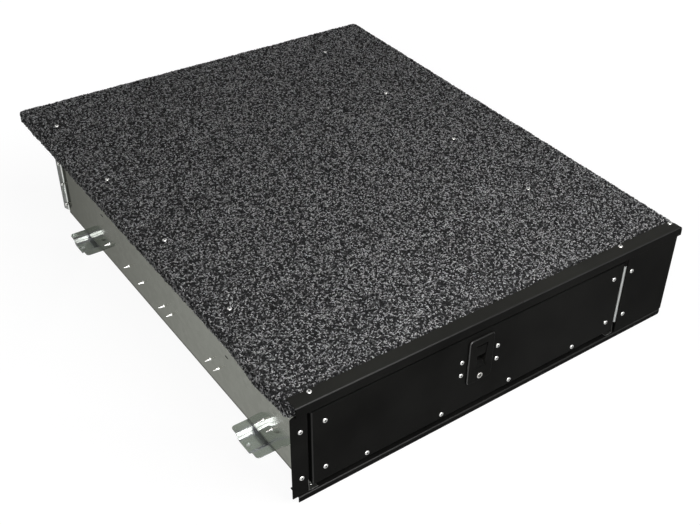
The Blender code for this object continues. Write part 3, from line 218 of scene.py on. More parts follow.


# The side sheet carries painted shade: darker towards the back and the top, and a painted dark line along its
# bottom edge.
sheetLook = {"colour": (0.300, 0.309, 0.284), "roughness": 0.10, "spangles": 75.0, "contrast": 0.07,
             "relief": 0.03, "metal": 1.0, "backShade": 0.42, "topShade": 0.76, "edgeTint": (0.5, 0.5, 0.48),
             "backSpan": (-0.23, 0.48), "topSpan": (0.165, 0.222), "rolling": (60, 3, 400),
             "shadeLines": [(0.0138, 0.35, 0.0045, 0.0085)]}  # each dark line's height, tone, core and reach
# A much lighter copy of the sheet for the bends: painted highlights along the folds.
foldHighlightLook = dict(sheetLook, colour=(0.76, 0.78, 0.75), roughness=0.22, backShade=0.9, topShade=1.0,
                edgeTint=(1, 1, 1), shadeLines=[])
# The feet take a lighter copy of the same zinc sheet: painted light.
footLitLook = dict(foldHighlightLook, colour=(0.80, 0.87, 0.82), roughness=0.16, metal=0.75, relief=0.015)
# The feet's bends and front-facing slopes: a near-white copy painted as a highlight streak, with a painted dark
# line through it.
slopeHighlightLook = dict(footLitLook, colour=(0.85, 0.88, 0.92), roughness=0.20, relief=0.008,
                 shadeLines=[(0.0062, 0.50, 0.0003, 0.0012)])
# The side's outward flanges: a lighter copy of the sheet, painted light.
flangeLitLook = dict(foldHighlightLook, colour=(0.42, 0.43, 0.42), roughness=0.30, metal=0.75)
# Dark finish for cut edges, also used as painted shade on the sides' bottom bends and flanges.
cutEdgeAndShadeLook = dict(foldHighlightLook, colour=(0.10, 0.10, 0.095), roughness=0.45, backShade=0.8)
# Drawer box steel, a little darker towards the back as painted shade.
boxLook = dict(sheetLook, colour=(0.34, 0.35, 0.34), roughness=0.30, backShade=0.95, topShade=1.0,
               shadeLines=[])
blackLook = {"colour": (0.0060, 0.0060, 0.0056), "dark": (0.0052, 0.0052, 0.0049),
             "light": (0.0085, 0.0085, 0.0080), "roughness": 0.40, "index": 1.04, "peel": 900.0,
             "relief": 0.06}
# A lighter, glossier copy of the black coat for bends: painted highlight lines.
creaseHighlightLook = dict(blackLook, dark=(0.010, 0.010, 0.0095), light=(0.014, 0.014, 0.013), roughness=0.28,
                  index=1.25)
# A still glossier copy for the latch housing's left rim: a painted highlight.
rimHighlightLook = dict(creaseHighlightLook, index=1.52, roughness=0.22)
# A lighter copy of the black coat for the trim's top and the latch scoop's end walls: painted light.
ledgeLitLook = dict(blackLook, dark=(0.0138, 0.0138, 0.0123), light=(0.0182, 0.0182, 0.0162), index=1.10)
platedLooks = {  # colour, dark grain, roughness and the grain's fineness
    "runnerPlate": ((0.55, 0.55, 0.54), (0.42, 0.42, 0.41), 0.30, 220.0),
    "runnerTrack": ((0.72, 0.72, 0.70), (0.58, 0.58, 0.56), 0.18, 90.0),
    "screwPlate": ((0.62, 0.62, 0.60), (0.46, 0.46, 0.45), 0.16, 500.0),
    # a dark copy of the plating for the hex sockets: painted shade in the recess
    "screwSocket": ((0.045, 0.045, 0.043), (0.020, 0.020, 0.019), 0.45, 700.0),
    # brighter plating for the slide screws' points: painted highlight
    "pointPlate": ((0.88, 0.88, 0.86), (0.76, 0.76, 0.74), 0.24, 400.0),
    "lockNickel": ((0.50, 0.49, 0.47), (0.38, 0.37, 0.35), 0.22, 400.0),
    "lockPlug": ((0.09, 0.088, 0.084), (0.04, 0.04, 0.038), 0.32, 900.0),
}
plyLook = {"light": (0.50, 0.37, 0.22), "dark": (0.36, 0.25, 0.14), "cross": (0.22, 0.14, 0.07),
           "roughness": 0.65, "layer": 0.0021, "stretch": (14, 1.5, 14)}
groundLook = {"dark": (0.002, 0.002, 0.0022), "light": (0.060, 0.060, 0.062), "wisps": 380.0}

galvanisedSheet = sheetFinish("galvanisedSheet", sheetLook)
galvanisedFold = sheetFinish("galvanisedFold", foldHighlightLook)
cutEdge = sheetFinish("cutEdge", cutEdgeAndShadeLook)
footSheet = sheetFinish("footSheet", footLitLook)
footSlope = sheetFinish("footSlope", slopeHighlightLook)
flangeSheet = sheetFinish("flangeSheet", flangeLitLook)
drawerSheet = sheetFinish("drawerSheet", boxLook)
blackCoat = blackFinish("blackCoat", blackLook)
blackCrease = blackFinish("blackCrease", creaseHighlightLook)
blackRim = blackFinish("blackRim", rimHighlightLook)
blackLedge = blackFinish("blackLedge", ledgeLitLook)
runnerPlate, runnerTrack, screwPlate, screwSocket, pointPlate, lockNickel, lockPlug = [
    platedFinish(name, *look) for name, look in platedLooks.items()]
plywood = plyFinish("plywood", plyLook)
carpetGround = backingFinish("carpetGround", groundLook)
print("stage: materials")


# shared steps for every piece

spareCutters = []


def takeMesh(name, shape):
    mesh = bpy.data.meshes.new(name)
    shape.to_mesh(mesh)
    shape.free()
    return mesh


def addObject(name, data):
    made = bpy.data.objects.new(name, data)
    bpy.context.collection.objects.link(made)
    return made


# A bmesh drawn from the cabinet's centre line becomes an object at the origin.
def makeObject(name, shape, *finishes, placed=False):
    if not placed:
        bmesh.ops.translate(shape, verts=shape.verts, vec=cabinetAt)
    mesh = takeMesh(name, shape)
    mesh.shade_smooth()
    for finish in finishes:
        mesh.materials.append(finish)
    return addObject(name, mesh)


def addStep(piece, kind, **settings):
    step = piece.modifiers.new(kind, kind)
    for key, value in settings.items():
        setattr(step, key, value)


# A sheet gets its thickness inwards; its cut edges take the finish that many slots further on.
def thicken(piece, thickness, edgeStep=0):
    addStep(piece, "SOLIDIFY", thickness=thickness, offset=-1, use_even_offset=True,
            material_offset_rim=edgeStep)


def cutAway(piece, shape):
    spareCutters.append(makeObject(piece.name + "Cutter", shape))
    addStep(piece, "BOOLEAN", operation="DIFFERENCE", solver="EXACT", object=spareCutters[-1])


def soften(piece, width, segments=2, angle=35):
    addStep(piece, "BEVEL", width=width, segments=segments, limit_method="ANGLE",
            angle_limit=math.radians(angle), harden_normals=True, use_clamp_overlap=True)


# Turn what a piece's modifiers make into its mesh.
def bake(piece):
    graph = bpy.context.evaluated_depsgraph_get()
    baked = bpy.data.meshes.new_from_object(piece.evaluated_get(graph))
    old = piece.data
    piece.modifiers.clear()
    piece.data = baked
    bpy.data.meshes.remove(old)
    baked.name = piece.name


# Finish a piece, tie it to its body and hide its nodes.
def settle(piece, body, slotName, *nodes):
    if piece.modifiers:
        bake(piece)
    while spareCutters:
        bpy.data.objects.remove(spareCutters.pop(), do_unlink=True)
    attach(piece, body)
    if nodes:
        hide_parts(*nodes)


def finishSheet(piece, thickness, width, body, slotName, node, edgeStep=0):
    thicken(piece, thickness, edgeStep)
    soften(piece, width)
    settle(piece, body, slotName, node)


# Make a bent sheet's normals agree, with the face nearest the probe looking in a direction.
def faceOutwards(shape, probe, direction):
    bmesh.ops.recalc_face_normals(shape, faces=shape.faces)
    near = min(shape.faces, key=lambda face: (face.calc_center_median() - Vector(probe)).length)
    if near.normal.dot(Vector(direction)) < 0:
        bmesh.ops.reverse_faces(shape, faces=shape.faces)


def newVertices(grown):
    return [item for item in grown if isinstance(item, bmesh.types.BMVert)]


def markFaces(faces, index):
    for face in faces:
        face.material_index = index


def roundOff(shape, parts, size, steps, affect="EDGES"):
    return bmesh.ops.bevel(shape, geom=parts, offset=size, segments=steps, profile=0.5, affect=affect,
                           material=-1, clamp_overlap=False)["faces"]


# Move the vertices that an extrusion has just made.
def pullOut(shape, grown, vector):
    moved = newVertices(grown["geom"])
    bmesh.ops.translate(shape, verts=moved, vec=vector)
    return moved


spreads = {
    "X": lambda a, b, run: Vector((run, a, b)),
    "Y": lambda a, b, run: Vector((a, run, b)),
    "Z": lambda a, b, run: Vector((a, b, run)),
}


# A sheet's outer surface: a path drawn across an axis, run along it and bent at each point.
# corners holds (end, path index, radius) for the sheet's rounded corners.
def bentStrip(path, axis, low, high, radius, outward, corners=(), bendSteps=4):
    shape = bmesh.new()
    put = spreads[axis]
    line = [shape.verts.new(put(a, b, low)) for a, b in path]
    edges = [shape.edges.new(pair) for pair in zip(line, line[1:])]
    pullOut(shape, bmesh.ops.extrude_edge_only(shape, edges=edges), put(0, 0, high - low))
    for end, index, size in corners:
        spot = put(*path[index], low if end < 0 else high)
        chosen = [vertex for vertex in shape.verts if (vertex.co - spot).length < gap]
        roundOff(shape, chosen, size, 6, "VERTICES")
    bends = [edge for edge in shape.edges if len(edge.link_faces) == 2 and edge.calc_face_angle(0) > 0.1]
    # the bends take the piece's second finish, on most pieces a painted highlight
    markFaces(roundOff(shape, bends, radius, bendSteps), 1)
    middle = (Vector(path[0]) + Vector(path[1])) / 2
    faceOutwards(shape, put(*middle, (low + high) / 2), put(*outward, 0))
    return shape


# An upright plate; corners maps (side, end) to a radius, and a negative one is a chamfer.
def flatPlate(left, right, low, high, y, corners):
    shape = bmesh.new()
    spots = {(-1, -1): (left, low), (1, -1): (right, low), (1, 1): (right, high), (-1, 1): (left, high)}
    made = {key: shape.verts.new((x, y, z)) for key, (x, z) in spots.items()}
    shape.faces.new(made.values())
    for key, size in corners.items():
        roundOff(shape, [made[key]], abs(size), 1 if size < 0 else 5, "VERTICES")
    faceOutwards(shape, ((left + right) / 2, y, (low + high) / 2), (0, -1, 0))
    return shape


def block(shape, low, high):
    low, high = Vector(low), Vector(high)
    where = Matrix.Translation((low + high) / 2) @ Matrix.Diagonal((*(high - low), 1))
    return bmesh.ops.create_cube(shape, size=1.0, matrix=where)["verts"]


turns = {
    "X": Matrix.Rotation(math.pi / 2, 4, "Y"),
    "-X": Matrix.Rotation(-math.pi / 2, 4, "Y"),
    "Y": Matrix.Rotation(-math.pi / 2, 4, "X"),
    "-Y": Matrix.Rotation(math.pi / 2, 4, "X"),
    "Z": Matrix.Identity(4),
    "-Z": Matrix.Rotation(math.pi, 4, "X"),
}


# A round bar that starts at a point and runs along a signed axis.
def bar(shape, start, axis, radius, length, steps=32):
    where = Matrix.Translation(start) @ turns[axis] @ Matrix.Translation((0, 0, length / 2))
    bmesh.ops.create_cone(shape, cap_ends=True, segments=steps, radius1=radius, radius2=radius,
                          depth=length, matrix=where)


# Spin a profile of (radius, height) points about z and close its poles.
def turnedShape(profile, steps):
    shape = bmesh.new()
    line = [shape.verts.new((radius, 0, height)) for radius, height in profile]
    edges = [shape.edges.new(pair) for pair in zip(line, line[1:])]
    bmesh.ops.spin(shape, geom=line + edges, cent=(0, 0, 0), axis=(0, 0, 1), angle=2 * math.pi,
                   steps=steps, use_merge=True)
    bmesh.ops.remove_doubles(shape, verts=shape.verts, dist=gap / 100)
    bmesh.ops.recalc_face_normals(shape, faces=shape.faces)
    return shape


# A CAD node's own shape with its doubles merged and its edges rounded.
def softCopy(name, node, material, body, slotName, width):
    shape = bmesh.new()
    shape.from_mesh(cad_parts[node].data)
    bmesh.ops.remove_doubles(shape, verts=shape.verts, dist=gap / 30)
    bmesh.ops.dissolve_limit(shape, angle_limit=math.radians(2), verts=shape.verts, edges=shape.edges,
                             use_dissolve_boundaries=False)
    piece = makeObject(name, shape, material, placed=True)
    soften(piece, width)
    settle(piece, body, slotName, node)


# cabinet sheets

sideSheet = {
    "thickness": 0.0015, "bend": 0.0022, "frontY": 0.0038, "backY": 1.1160, "low": 0.0138, "high": 0.2215,
    "topFlange": 0.0270, "footFlange": 0.0200, "frontFlange": 0.0330, "frontLow": 0.0460,
    "frontHigh": 0.2000, "rearFlange": 0.0102, "rearLow": 0.0220, "rearRise": 0.0100, "relief": 0.0040,
    "slots": ((0.2996, 0.1288), (0.8850, 0.1356)), "slotLength": 0.0120, "slotHeight": 0.0035,
    "slotRound": 0.48, "slotReach": 0.004,
    "tabHigh": 0.2190, "frontPaintedTone": {"Left": 2, "Right": 4},  # the left front flange is painted black as shade in the gap by the drawer; the right one takes the lighter flange copy
}


# Fold a flange out of the edges along a row of vertices; the flange's far vertices come back.
def foldFlange(shape, row, vector):
    edges = [shape.edges.get(pair) for pair in zip(row, row[1:])]
    return edges, pullOut(shape, bmesh.ops.extrude_edge_only(shape, edges=edges), vector)


def makeSide(side, word):
    s = sideSheet
    x = side * halfWidth
    shape = bmesh.new()
    spots = [(s["frontY"], z) for z in (s["low"], s["frontLow"], s["frontHigh"], s["tabHigh"], s["high"])]
    spots += [(s["backY"], z) for z in (s["high"], s["high"] - s["relief"], s["rearLow"], s["low"])]
    web = [shape.verts.new((x, y, z)) for y, z in spots]
    shape.faces.new(web)
    top, _ = foldFlange(shape, web[4:6], (-side * s["topFlange"], 0, 0))
    foot, _ = foldFlange(shape, (web[8], web[0]), (-side * s["footFlange"], 0, 0))
    front, _ = foldFlange(shape, web[1:4], (side * s["frontFlange"], 0, 0))
    rear, tips = foldFlange(shape, web[6:8], (side * s["rearFlange"], 0, 0))
    min(tips, key=lambda vertex: vertex.co.z).co.z += s["rearRise"]
    # the bends take the lighter copy of the sheet, a painted highlight
    markFaces(roundOff(shape, top + foot + front + rear, s["bend"], 4), 1)
    for face in shape.faces:
        middle = face.calc_center_median()
        # painted shade: the bottom bend and flange take the dark cut-edge finish
        if middle.z < s["low"] + s["bend"]:
            face.material_index = 3
        # the outward flanges take the lighter copy of the sheet, painted light
        if abs(middle.x) > halfWidth + s["bend"]:
            face.material_index = 4
        # painted shade: the front flanges above frontHigh, and the whole left front flange, take the black coat
        if abs(middle.x) > halfWidth - s["bend"] and middle.y < s["frontY"] + s["bend"]:
            face.material_index = 2 if middle.z > s["frontHigh"] else s["frontPaintedTone"][word]
    faceOutwards(shape, (x, 0.5, 0.12), (side, 0, 0))
    piece = makeObject("side" + word, shape, galvanisedSheet, galvanisedFold, blackCoat, cutEdge, flangeSheet)
    thicken(piece, s["thickness"], 3)
    slots = bmesh.new()
    for y, z in s["slots"]:
        block(slots, (x - s["slotReach"], y - s["slotLength"] / 2, z - s["slotHeight"] / 2),
              (x + s["slotReach"], y + s["slotLength"] / 2, z + s["slotHeight"] / 2))
    upright = [edge for edge in slots.edges if abs(edge.verts[0].co.x - edge.verts[1].co.x) > gap]
    roundOff(slots, upright, s["slotHeight"] * s["slotRound"], 4)
    cutAway(piece, slots)
    soften(piece, 0.0002)
    settle(piece, "cabinet", galvanised, "side_panel_" + word.lower())


for side, word in hands:
    makeSide(side, word)

rearSheet = {"half": 0.4126, "front": 1.1178, "flange": 0.0453, "corner": 0.006, "low": 0.0320, "high": 0.2215,
             "thickness": 0.0015, "bend": 0.0020}
s = rearSheet
shape = bentStrip([(s["front"], s["low"]), (s["front"], s["high"]), (s["front"] + s["flange"], s["high"])],
                  "X", -s["half"], s["half"], s["bend"], (-1, 0), [(end, 2, s["corner"]) for end in (-1, 1)])
rear = makeObject("rearPanel", shape, galvanisedSheet, galvanisedFold, cutEdge)
finishSheet(rear, s["thickness"], 0.0002, "cabinet", galvanised, "rear_panel", 2)

memberSheet = {"half": 0.4404, "starts": {"front": 0.1274, "rear": 0.9226}, "top": 0.0135, "crown": 0.0015,
               "flange": 0.0210, "slope": 0.0110, "flat": 0.0404, "thickness": 0.0015, "bend": 0.0034,
               "corner": 0.0080, "hole": 0.0045, "holeX": 0.4309, "holeStart": -0.004, "holeLength": 0.010,
               "footprint": (0.0330, 0.0714)}


def makeMember(word, start):
    m = memberSheet
    path = [(start, m["top"])]
    for run, height in ((m["flange"], m["top"]), (m["slope"], m["crown"]), (m["flat"], m["crown"]),
                        (m["slope"], m["top"]), (m["flange"], m["top"])):
        path.append((path[-1][0] + run, height))
    corners = [(end, index, m["corner"]) for end in (-1, 1) for index in (0, 5)]
    shape = bentStrip(path, "X", -m["half"], m["half"], m["bend"], (0, 1), corners, 5)
    # the front-facing slopes take the near-white copy, a painted highlight streak
    markFaces([face for face in shape.faces if face.normal.y < -0.3], 1)
    piece = makeObject("crossMember" + word.capitalize(), shape, footSheet, footSlope, cutEdge)
    thicken(piece, m["thickness"], 2)
    holes = bmesh.new()
    middle = (path[0][0] + path[-1][0]) / 2
    for side in (-1, 1):
        bar(holes, (side * m["holeX"], middle, m["holeStart"]), "Z", m["hole"], m["holeLength"])
    cutAway(piece, holes)
    soften(piece, 0.0002)
    settle(piece, "cabinet", galvanised, "cross_member_" + word)


for word, start in memberSheet["starts"].items():
    makeMember(word, start)
print("stage: cabinet sheets")


# black front

trimSheet = {"left": -0.4279, "right": 0.5686, "front": -0.0023, "back": 0.0290, "low": 0.2220,
             "high": 0.2448, "thickness": 0.0020, "bend": 0.0026, "corner": 0.0170,
             "endLow": 0.2300, "endPull": 0.0055, "leftCorner": 0.0015}
s = trimSheet
shape = bentStrip([(s["front"], s["low"]), (s["front"], s["high"]), (s["back"], s["high"])], "X",
                  s["left"], s["right"], s["bend"], (-1, 0), [(1, 2, s["corner"]), (-1, 2, s["leftCorner"])], 6)
# the top face takes the lighter black, painted light on the top
markFaces([face for face in shape.faces if face.normal.z > 0.99], 2)
for share in (0.0, 0.3, 0.55, 0.75, 0.9):
    cut = s["endLow"] + (s["high"] - s["bend"] - s["endLow"]) * share
    bmesh.ops.bisect_plane(shape, geom=shape.verts[:] + shape.edges[:] + shape.faces[:],
                           plane_co=(0, 0, cut), plane_no=(0, 0, 1))
for vertex in shape.verts:  # the right end curves in towards its top
    if vertex.co.x > s["right"] - s["corner"] - gap:
        up = max(vertex.co.z - s["endLow"], 0) / (s["high"] - s["endLow"])
        vertex.co.x -= s["endPull"] * (1 - math.sqrt(max(1 - up * up, 0)))
trim = makeObject("topTrim", shape, blackCoat, blackCrease, blackLedge)
finishSheet(trim, s["thickness"], 0.0004, "cabinet", black, "top_trim")

railSheet = {"left": -0.4266, "right": 0.5586, "high": 0.0135, "depth": 0.0300, "thickness": 0.0015,
             "bend": 0.0022, "corner": 0.0120, "frontCorner": 0.0050}
s = railSheet
shape = bentStrip([(0, 0), (0, s["high"]), (s["depth"], s["high"])], "X", s["left"], s["right"], s["bend"],
                  (-1, 0), [(1, 2, s["corner"]), (1, 0, s["frontCorner"])], 6)
rail = makeObject("bottomRail", shape, blackCoat, blackCrease)
finishSheet(rail, s["thickness"], 0.0003, "cabinet", black, "bottom_rail")

plateThickness = 0.0020
plates = {
    "facePost": {"box": (-0.4394, -0.4067, 0.0168, 0.2250), "node": "face_post",
                 "corners": {(-1, 1): -0.0045, (-1, -1): 0.0015, (1, -1): 0.0015, (1, 1): 0.0015}},
    "facePanel": {"box": (0.4066, 0.5606, 0.0150, 0.2250), "node": "face_panel",
                  "corners": {(1, -1): 0.0040, (-1, -1): 0.0015, (-1, 1): 0.0015}},
}
for name, s in plates.items():
    piece = makeObject(name, flatPlate(*s["box"], 0.0, s["corners"]), blackCoat)
    finishSheet(piece, plateThickness, 0.0005, "cabinet", black, s["node"])

frontSheet = {"half": 0.3959, "low": 0.0285, "high": 0.2145, "depth": 0.0180, "thickness": 0.0020,
              "bend": 0.0024, "windowHalf": 0.0243, "windowLow": 0.0957, "windowHigh": 0.1983,
              "latchX": -0.0036, "windowReach": 0.01}
s = frontSheet
shape = flatPlate(-s["half"], s["half"], s["low"], s["high"], 0.0, {})
pullOut(shape, bmesh.ops.extrude_edge_only(shape, edges=shape.edges[:]), (0, s["depth"], 0))
bent = roundOff(shape, [edge for edge in shape.edges if len(edge.link_faces) == 2], s["bend"], 5)
# the left fold takes the lighter black, a painted highlight
markFaces([face for face in bent if face.calc_center_median().x < -s["half"] + s["bend"]], 1)
faceOutwards(shape, (0, 0, 0.12), (0, -1, 0))
front = makeObject("drawerFront", shape, blackCoat, blackCrease)
thicken(front, s["thickness"])
window = bmesh.new()
block(window, (s["latchX"] - s["windowHalf"], -s["windowReach"], s["windowLow"]),
      (s["latchX"] + s["windowHalf"], s["windowReach"], s["windowHigh"]))
cutAway(front, window)
soften(front, 0.0002)
settle(front, "drawer", black, "drawer_front")
print("stage: black front")


# latch

latch = {
    "x": -0.0036, "width": 0.0640, "low": 0.0900, "high": 0.2040, "proud": 0.0055, "corner": 0.0080,
    "rim": 0.0028, "bossInset": 0.0080, "bossBack": 0.0177, "recessWidth": 0.0300, "recessBack": 0.0140,
    "scoop": ((-0.0200, 0.1260), (-0.0048, 0.1260), (0.0015, 0.1345), (0.0015, 0.1400), (0.0140, 0.1400),
              (0.0140, 0.1860), (-0.0200, 0.1860)), "scoopSlope": 0.0060,
    "lockZ": 0.1045, "lockBore": 0.0073, "boreStart": -0.02, "boreLength": 0.06, "overcut": 0.002,
    "pinY": 0.0040, "pinZ": 0.1790, "pinHalf": 0.0200, "pinRadius": 0.0015, "pinPlay": 0.0003,
    "armHalf": 0.0055, "armDrop": 0.0130, "armRise": 0.0035,
}


def makeHousing():
    s = latch
    half = s["width"] / 2
    shape = bmesh.new()
    block(shape, (s["x"] - half, -s["proud"], s["low"]), (s["x"] + half, -gap, s["high"]))
    along = [edge for edge in shape.edges if abs(edge.verts[0].co.y - edge.verts[1].co.y) > gap]
    roundOff(shape, along, s["corner"], 8)
    rim = [edge for edge in shape.edges if all(abs(v.co.y + s["proud"]) < gap / 10 for v in edge.verts)]
    bent = roundOff(shape, rim, s["rim"], 4)
    # painted highlights: the top rim takes the lighter crease copy, the left rim the glossier rim copy
    markFaces([face for face in bent if face.normal.z > 0.3], 3)
    markFaces([face for face in bent if face.normal.x < -0.3], 1)
    back = [face for face in shape.faces if face.normal.y > 0.9]
    bmesh.ops.inset_region(shape, faces=back, thickness=s["bossInset"], use_even_offset=True)
    grown = bmesh.ops.extrude_face_region(shape, geom=back)
    bmesh.ops.delete(shape, geom=back, context="FACES_ONLY")
    pullOut(shape, grown, (0, s["bossBack"] + gap, 0))
    bmesh.ops.recalc_face_normals(shape, faces=shape.faces)
    piece = makeObject("latchHousing", shape, blackCoat, blackRim, blackLedge, blackCrease)
    recess = bmesh.new()
    inner = s["recessWidth"] / 2
    outline = [recess.verts.new((s["x"] - inner, y, z)) for y, z in s["scoop"]]
    across = bmesh.ops.extrude_face_region(recess, geom=[recess.faces.new(outline)])
    pullOut(recess, across, (2 * inner, 0, 0))
    for vertex in recess.verts:
        if abs(vertex.co.y - s["scoop"][2][0]) < gap:  # the scoop's ends slope in
            vertex.co.x += math.copysign(s["scoopSlope"], s["x"] - vertex.co.x)
    bmesh.ops.triangulate(recess, faces=recess.faces)
    bmesh.ops.recalc_face_normals(recess, faces=recess.faces)
    # painted light: the scoop's end walls take the lighter black against their shade
    markFaces([face for face in recess.faces if abs(face.normal.x) > 0.2
               and face.calc_center_median().z < s["pinZ"] - s["armDrop"]], 2)
    cutAway(piece, recess)
    bore = bmesh.new()
    bar(bore, (s["x"], s["boreStart"], s["lockZ"]), "Y", s["lockBore"], s["boreLength"], 48)
    cutAway(piece, bore)
    slot = bmesh.new()
    block(slot, (s["x"] - s["armHalf"], s["recessBack"] - s["overcut"], s["pinZ"] - s["armDrop"]),
          (s["x"] + s["armHalf"], s["bossBack"] + 2 * s["overcut"], s["pinZ"] + s["armRise"]))
    cutAway(piece, slot)
    pin = bmesh.new()
    reach = s["pinHalf"] + s["pinPlay"]
    bar(pin, (s["x"] - reach, s["pinY"], s["pinZ"]), "X", s["pinRadius"] + s["pinPlay"], 2 * reach, 24)
    cutAway(piece, pin)
    soften(piece, 0.0004, 3, 40)
    settle(piece, "drawer", black, "latch_housing")


makeHousing()
for name, node, finish, body, slotName, width in (
        ("latchPaddle", "latch_paddle", blackCoat, "paddle", black, 0.0005),
        ("latchBracket", "latch_bracket", runnerPlate, "drawer", zinc, 0.0003),
        ("latchBolt", "latch_bolt", runnerPlate, "bolt", zinc, 0.0004),
        ("lockCam", "lock_cam", runnerPlate, "lock", zinc, 0.0003),
        ("strikerPlate", "striker_plate", runnerPlate, "cabinet", zinc, 0.0003)):
    softCopy(name, node, finish, body, slotName, width)

pinBar = bmesh.new()
bar(pinBar, (latch["x"] - latch["pinHalf"], latch["pinY"], latch["pinZ"]), "X", latch["pinRadius"],
    2 * latch["pinHalf"], 24)
hingePin = makeObject("paddlePin", pinBar, runnerPlate)
soften(hingePin, 0.0003, 2, 60)
settle(hingePin, "drawer", zinc, "paddle_pin")

lockBarrel = {"radius": 0.0070, "proud": 0.0070, "length": 0.0265, "post": 0.0025, "postEnd": 0.0288,
              "keyWidth": 0.0014, "keyHeight": 0.0070, "keyDepth": 0.0040}
s = lockBarrel
profile = [(0, 0.0003), (s["radius"] * 0.62, 0.0003), (s["radius"] * 0.68, 0), (s["radius"] * 0.93, 0),
           (s["radius"] * 0.98, 0.0003), (s["radius"], 0.0009), (s["radius"], s["length"] - gap),
           (s["post"], s["length"] - gap), (s["post"], s["postEnd"]), (0, s["postEnd"])]
middle = Vector((latch["x"], -s["proud"], latch["lockZ"]))
shape = turnedShape(profile, 48)
bmesh.ops.transform(shape, verts=shape.verts, matrix=Matrix.Translation(middle) @ turns["Y"])
markFaces([face for face in shape.faces if face.normal.y < -0.9
           and (face.calc_center_median() - middle).xz.length < s["radius"] * 0.6], 1)
barrel = makeObject("lockCylinder", shape, lockNickel, lockPlug)
keyway = bmesh.new()
block(keyway, middle - Vector((s["keyWidth"] / 2, 0.002, s["keyHeight"] / 2)),
      middle + Vector((s["keyWidth"] / 2, s["keyDepth"], s["keyHeight"] / 2)))
cutAway(barrel, keyway)
soften(barrel, 0.00015, 2, 50)
settle(barrel, "lock", "lock_metal", "lock_cylinder")
print("stage: latch")


# slides

slideSheet = {"web": 0.4009, "z": 0.0685, "front": 0.0200, "back": 1.0360, "bend": 0.0022}
slideMembers = {
    "Outer": {"near": 0.0003, "depth": 0.0162, "height": 0.0760, "sheet": 0.0020, "lip": 0.0020,
              "opensIn": True, "body": "cabinet"},
    "Middle": {"near": 0.0038, "depth": 0.0106, "height": 0.0712, "sheet": 0.0018, "lip": 0,
               "opensIn": True, "body": "runner"},
    "Inner": {"near": 0.0075, "depth": 0.0115, "height": 0.0668, "sheet": 0.0018, "lip": 0,
              "opensIn": False, "body": "drawer"},
}


def makeSlide(kind, side, word):
    s, m = slideSheet, slideMembers[kind]
    web, tip = (m["near"], m["near"] + m["depth"]) if m["opensIn"] else (m["near"] + m["depth"], m["near"])
    half = m["height"] / 2
    points = [(tip, half), (web, half), (web, -half), (tip, -half)]
    if m["lip"]:
        points = [(tip, half - m["sheet"] - m["lip"])] + points + [(tip, m["sheet"] + m["lip"] - half)]
    path = [(side * (s["web"] - reach), s["z"] + up) for reach, up in points]
    shape = bentStrip(path, "Y", s["front"], s["back"], s["bend"], (0, 0))
    wall = (side * (s["web"] - web), 0.5, s["z"])
    faceOutwards(shape, wall, (side if m["opensIn"] else -side, 0, 0))
    piece = makeObject(f"slide{kind}{word}", shape, runnerPlate, runnerTrack)
    body = f"runner_{word.lower()}" if m["body"] == "runner" else m["body"]
    finishSheet(piece, m["sheet"], 0.0002, body, zinc, f"slide_{kind.lower()}_{word.lower()}")


for side, word in hands:
    for kind in slideMembers:
        makeSlide(kind, side, word)
print("stage: slides")


# drawer box

for node, name in (("drawer_side_left", "drawerSideLeft"), ("drawer_side_right", "drawerSideRight"),
                   ("drawer_floor", "drawerFloor"), ("drawer_back", "drawerBack")):
    softCopy(name, node, drawerSheet, "drawer", boxSteel, 0.0003)
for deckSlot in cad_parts["deck_board"].material_slots:
    deckSlot.material = plywood
print("stage: drawer box")


# fasteners

headSizes = {
    "large": {"radius": 0.00525, "height": 0.0030, "rim": 0.0008, "mouth": 0.0027, "flat": 0.0020,
              "depth": 0.0019, "shank": 0.0028},
    "small": {"radius": 0.0045, "height": 0.0022, "rim": 0.0006, "mouth": 0.0021, "flat": 0.0015,
              "depth": 0.0013, "shank": 0.0020},
}


# Button head with a hexagon socket, seated at the origin and looking along +z.
def screwShape(size, shank):
    h = headSizes[size]
    arc = []
    for step in range(6):
        angle = math.pi / 2 * step / 5
        arc.append((h["mouth"] + (h["radius"] - h["mouth"]) * math.cos(angle),
                    h["rim"] + (h["height"] - h["rim"]) * math.sin(angle)))
    profile = [(0, -shank), (h["shank"] * 0.75, -shank), (h["shank"], -shank + 0.001), (h["shank"], gap),
               (h["radius"], gap)] + arc
    shape = turnedShape(profile, 36)
    # the socket's upper ring keeps the plating; its inner ring and floor take the dark copy, painted shade
    for index, height in enumerate((h["height"], h["height"] - h["depth"])):
        mouth = [edge for edge in shape.edges if edge.is_boundary]
        grown = bmesh.ops.extrude_edge_only(shape, edges=mouth)["geom"]
        markFaces([item for item in grown if isinstance(item, bmesh.types.BMFace)], index)
        for vertex in newVertices(grown):
            turn = math.atan2(vertex.co.y, vertex.co.x)
            inFlat = (turn % (math.pi / 3)) - math.pi / 6
            reach = h["flat"] / math.cos(inFlat)
            vertex.co = (reach * math.cos(turn), reach * math.sin(turn), height)
    floor = [edge for edge in shape.edges if edge.is_boundary]
    markFaces(bmesh.ops.contextual_create(shape, geom=floor)["faces"], 1)
    bmesh.ops.recalc_face_normals(shape, faces=shape.faces)
    return takeMesh("screwPattern", shape)


def placeScrew(name, pattern, spots, axis, body, slotName, finishes, nodes=(), twist=0.0):
    shape = bmesh.new()
    for number, spot in enumerate(spots):
        turn = Matrix.Rotation(twist + number * 0.7, 4, "Z")
        placed = pattern.copy()
        placed.transform(Matrix.Translation(spot) @ turns[axis] @ turn)
        shape.from_mesh(placed)
        bpy.data.meshes.remove(placed)
    piece = makeObject(name, shape, *finishes)
    piece.data.set_sharp_from_angle(angle=math.radians(40))
    settle(piece, body, slotName, *nodes)


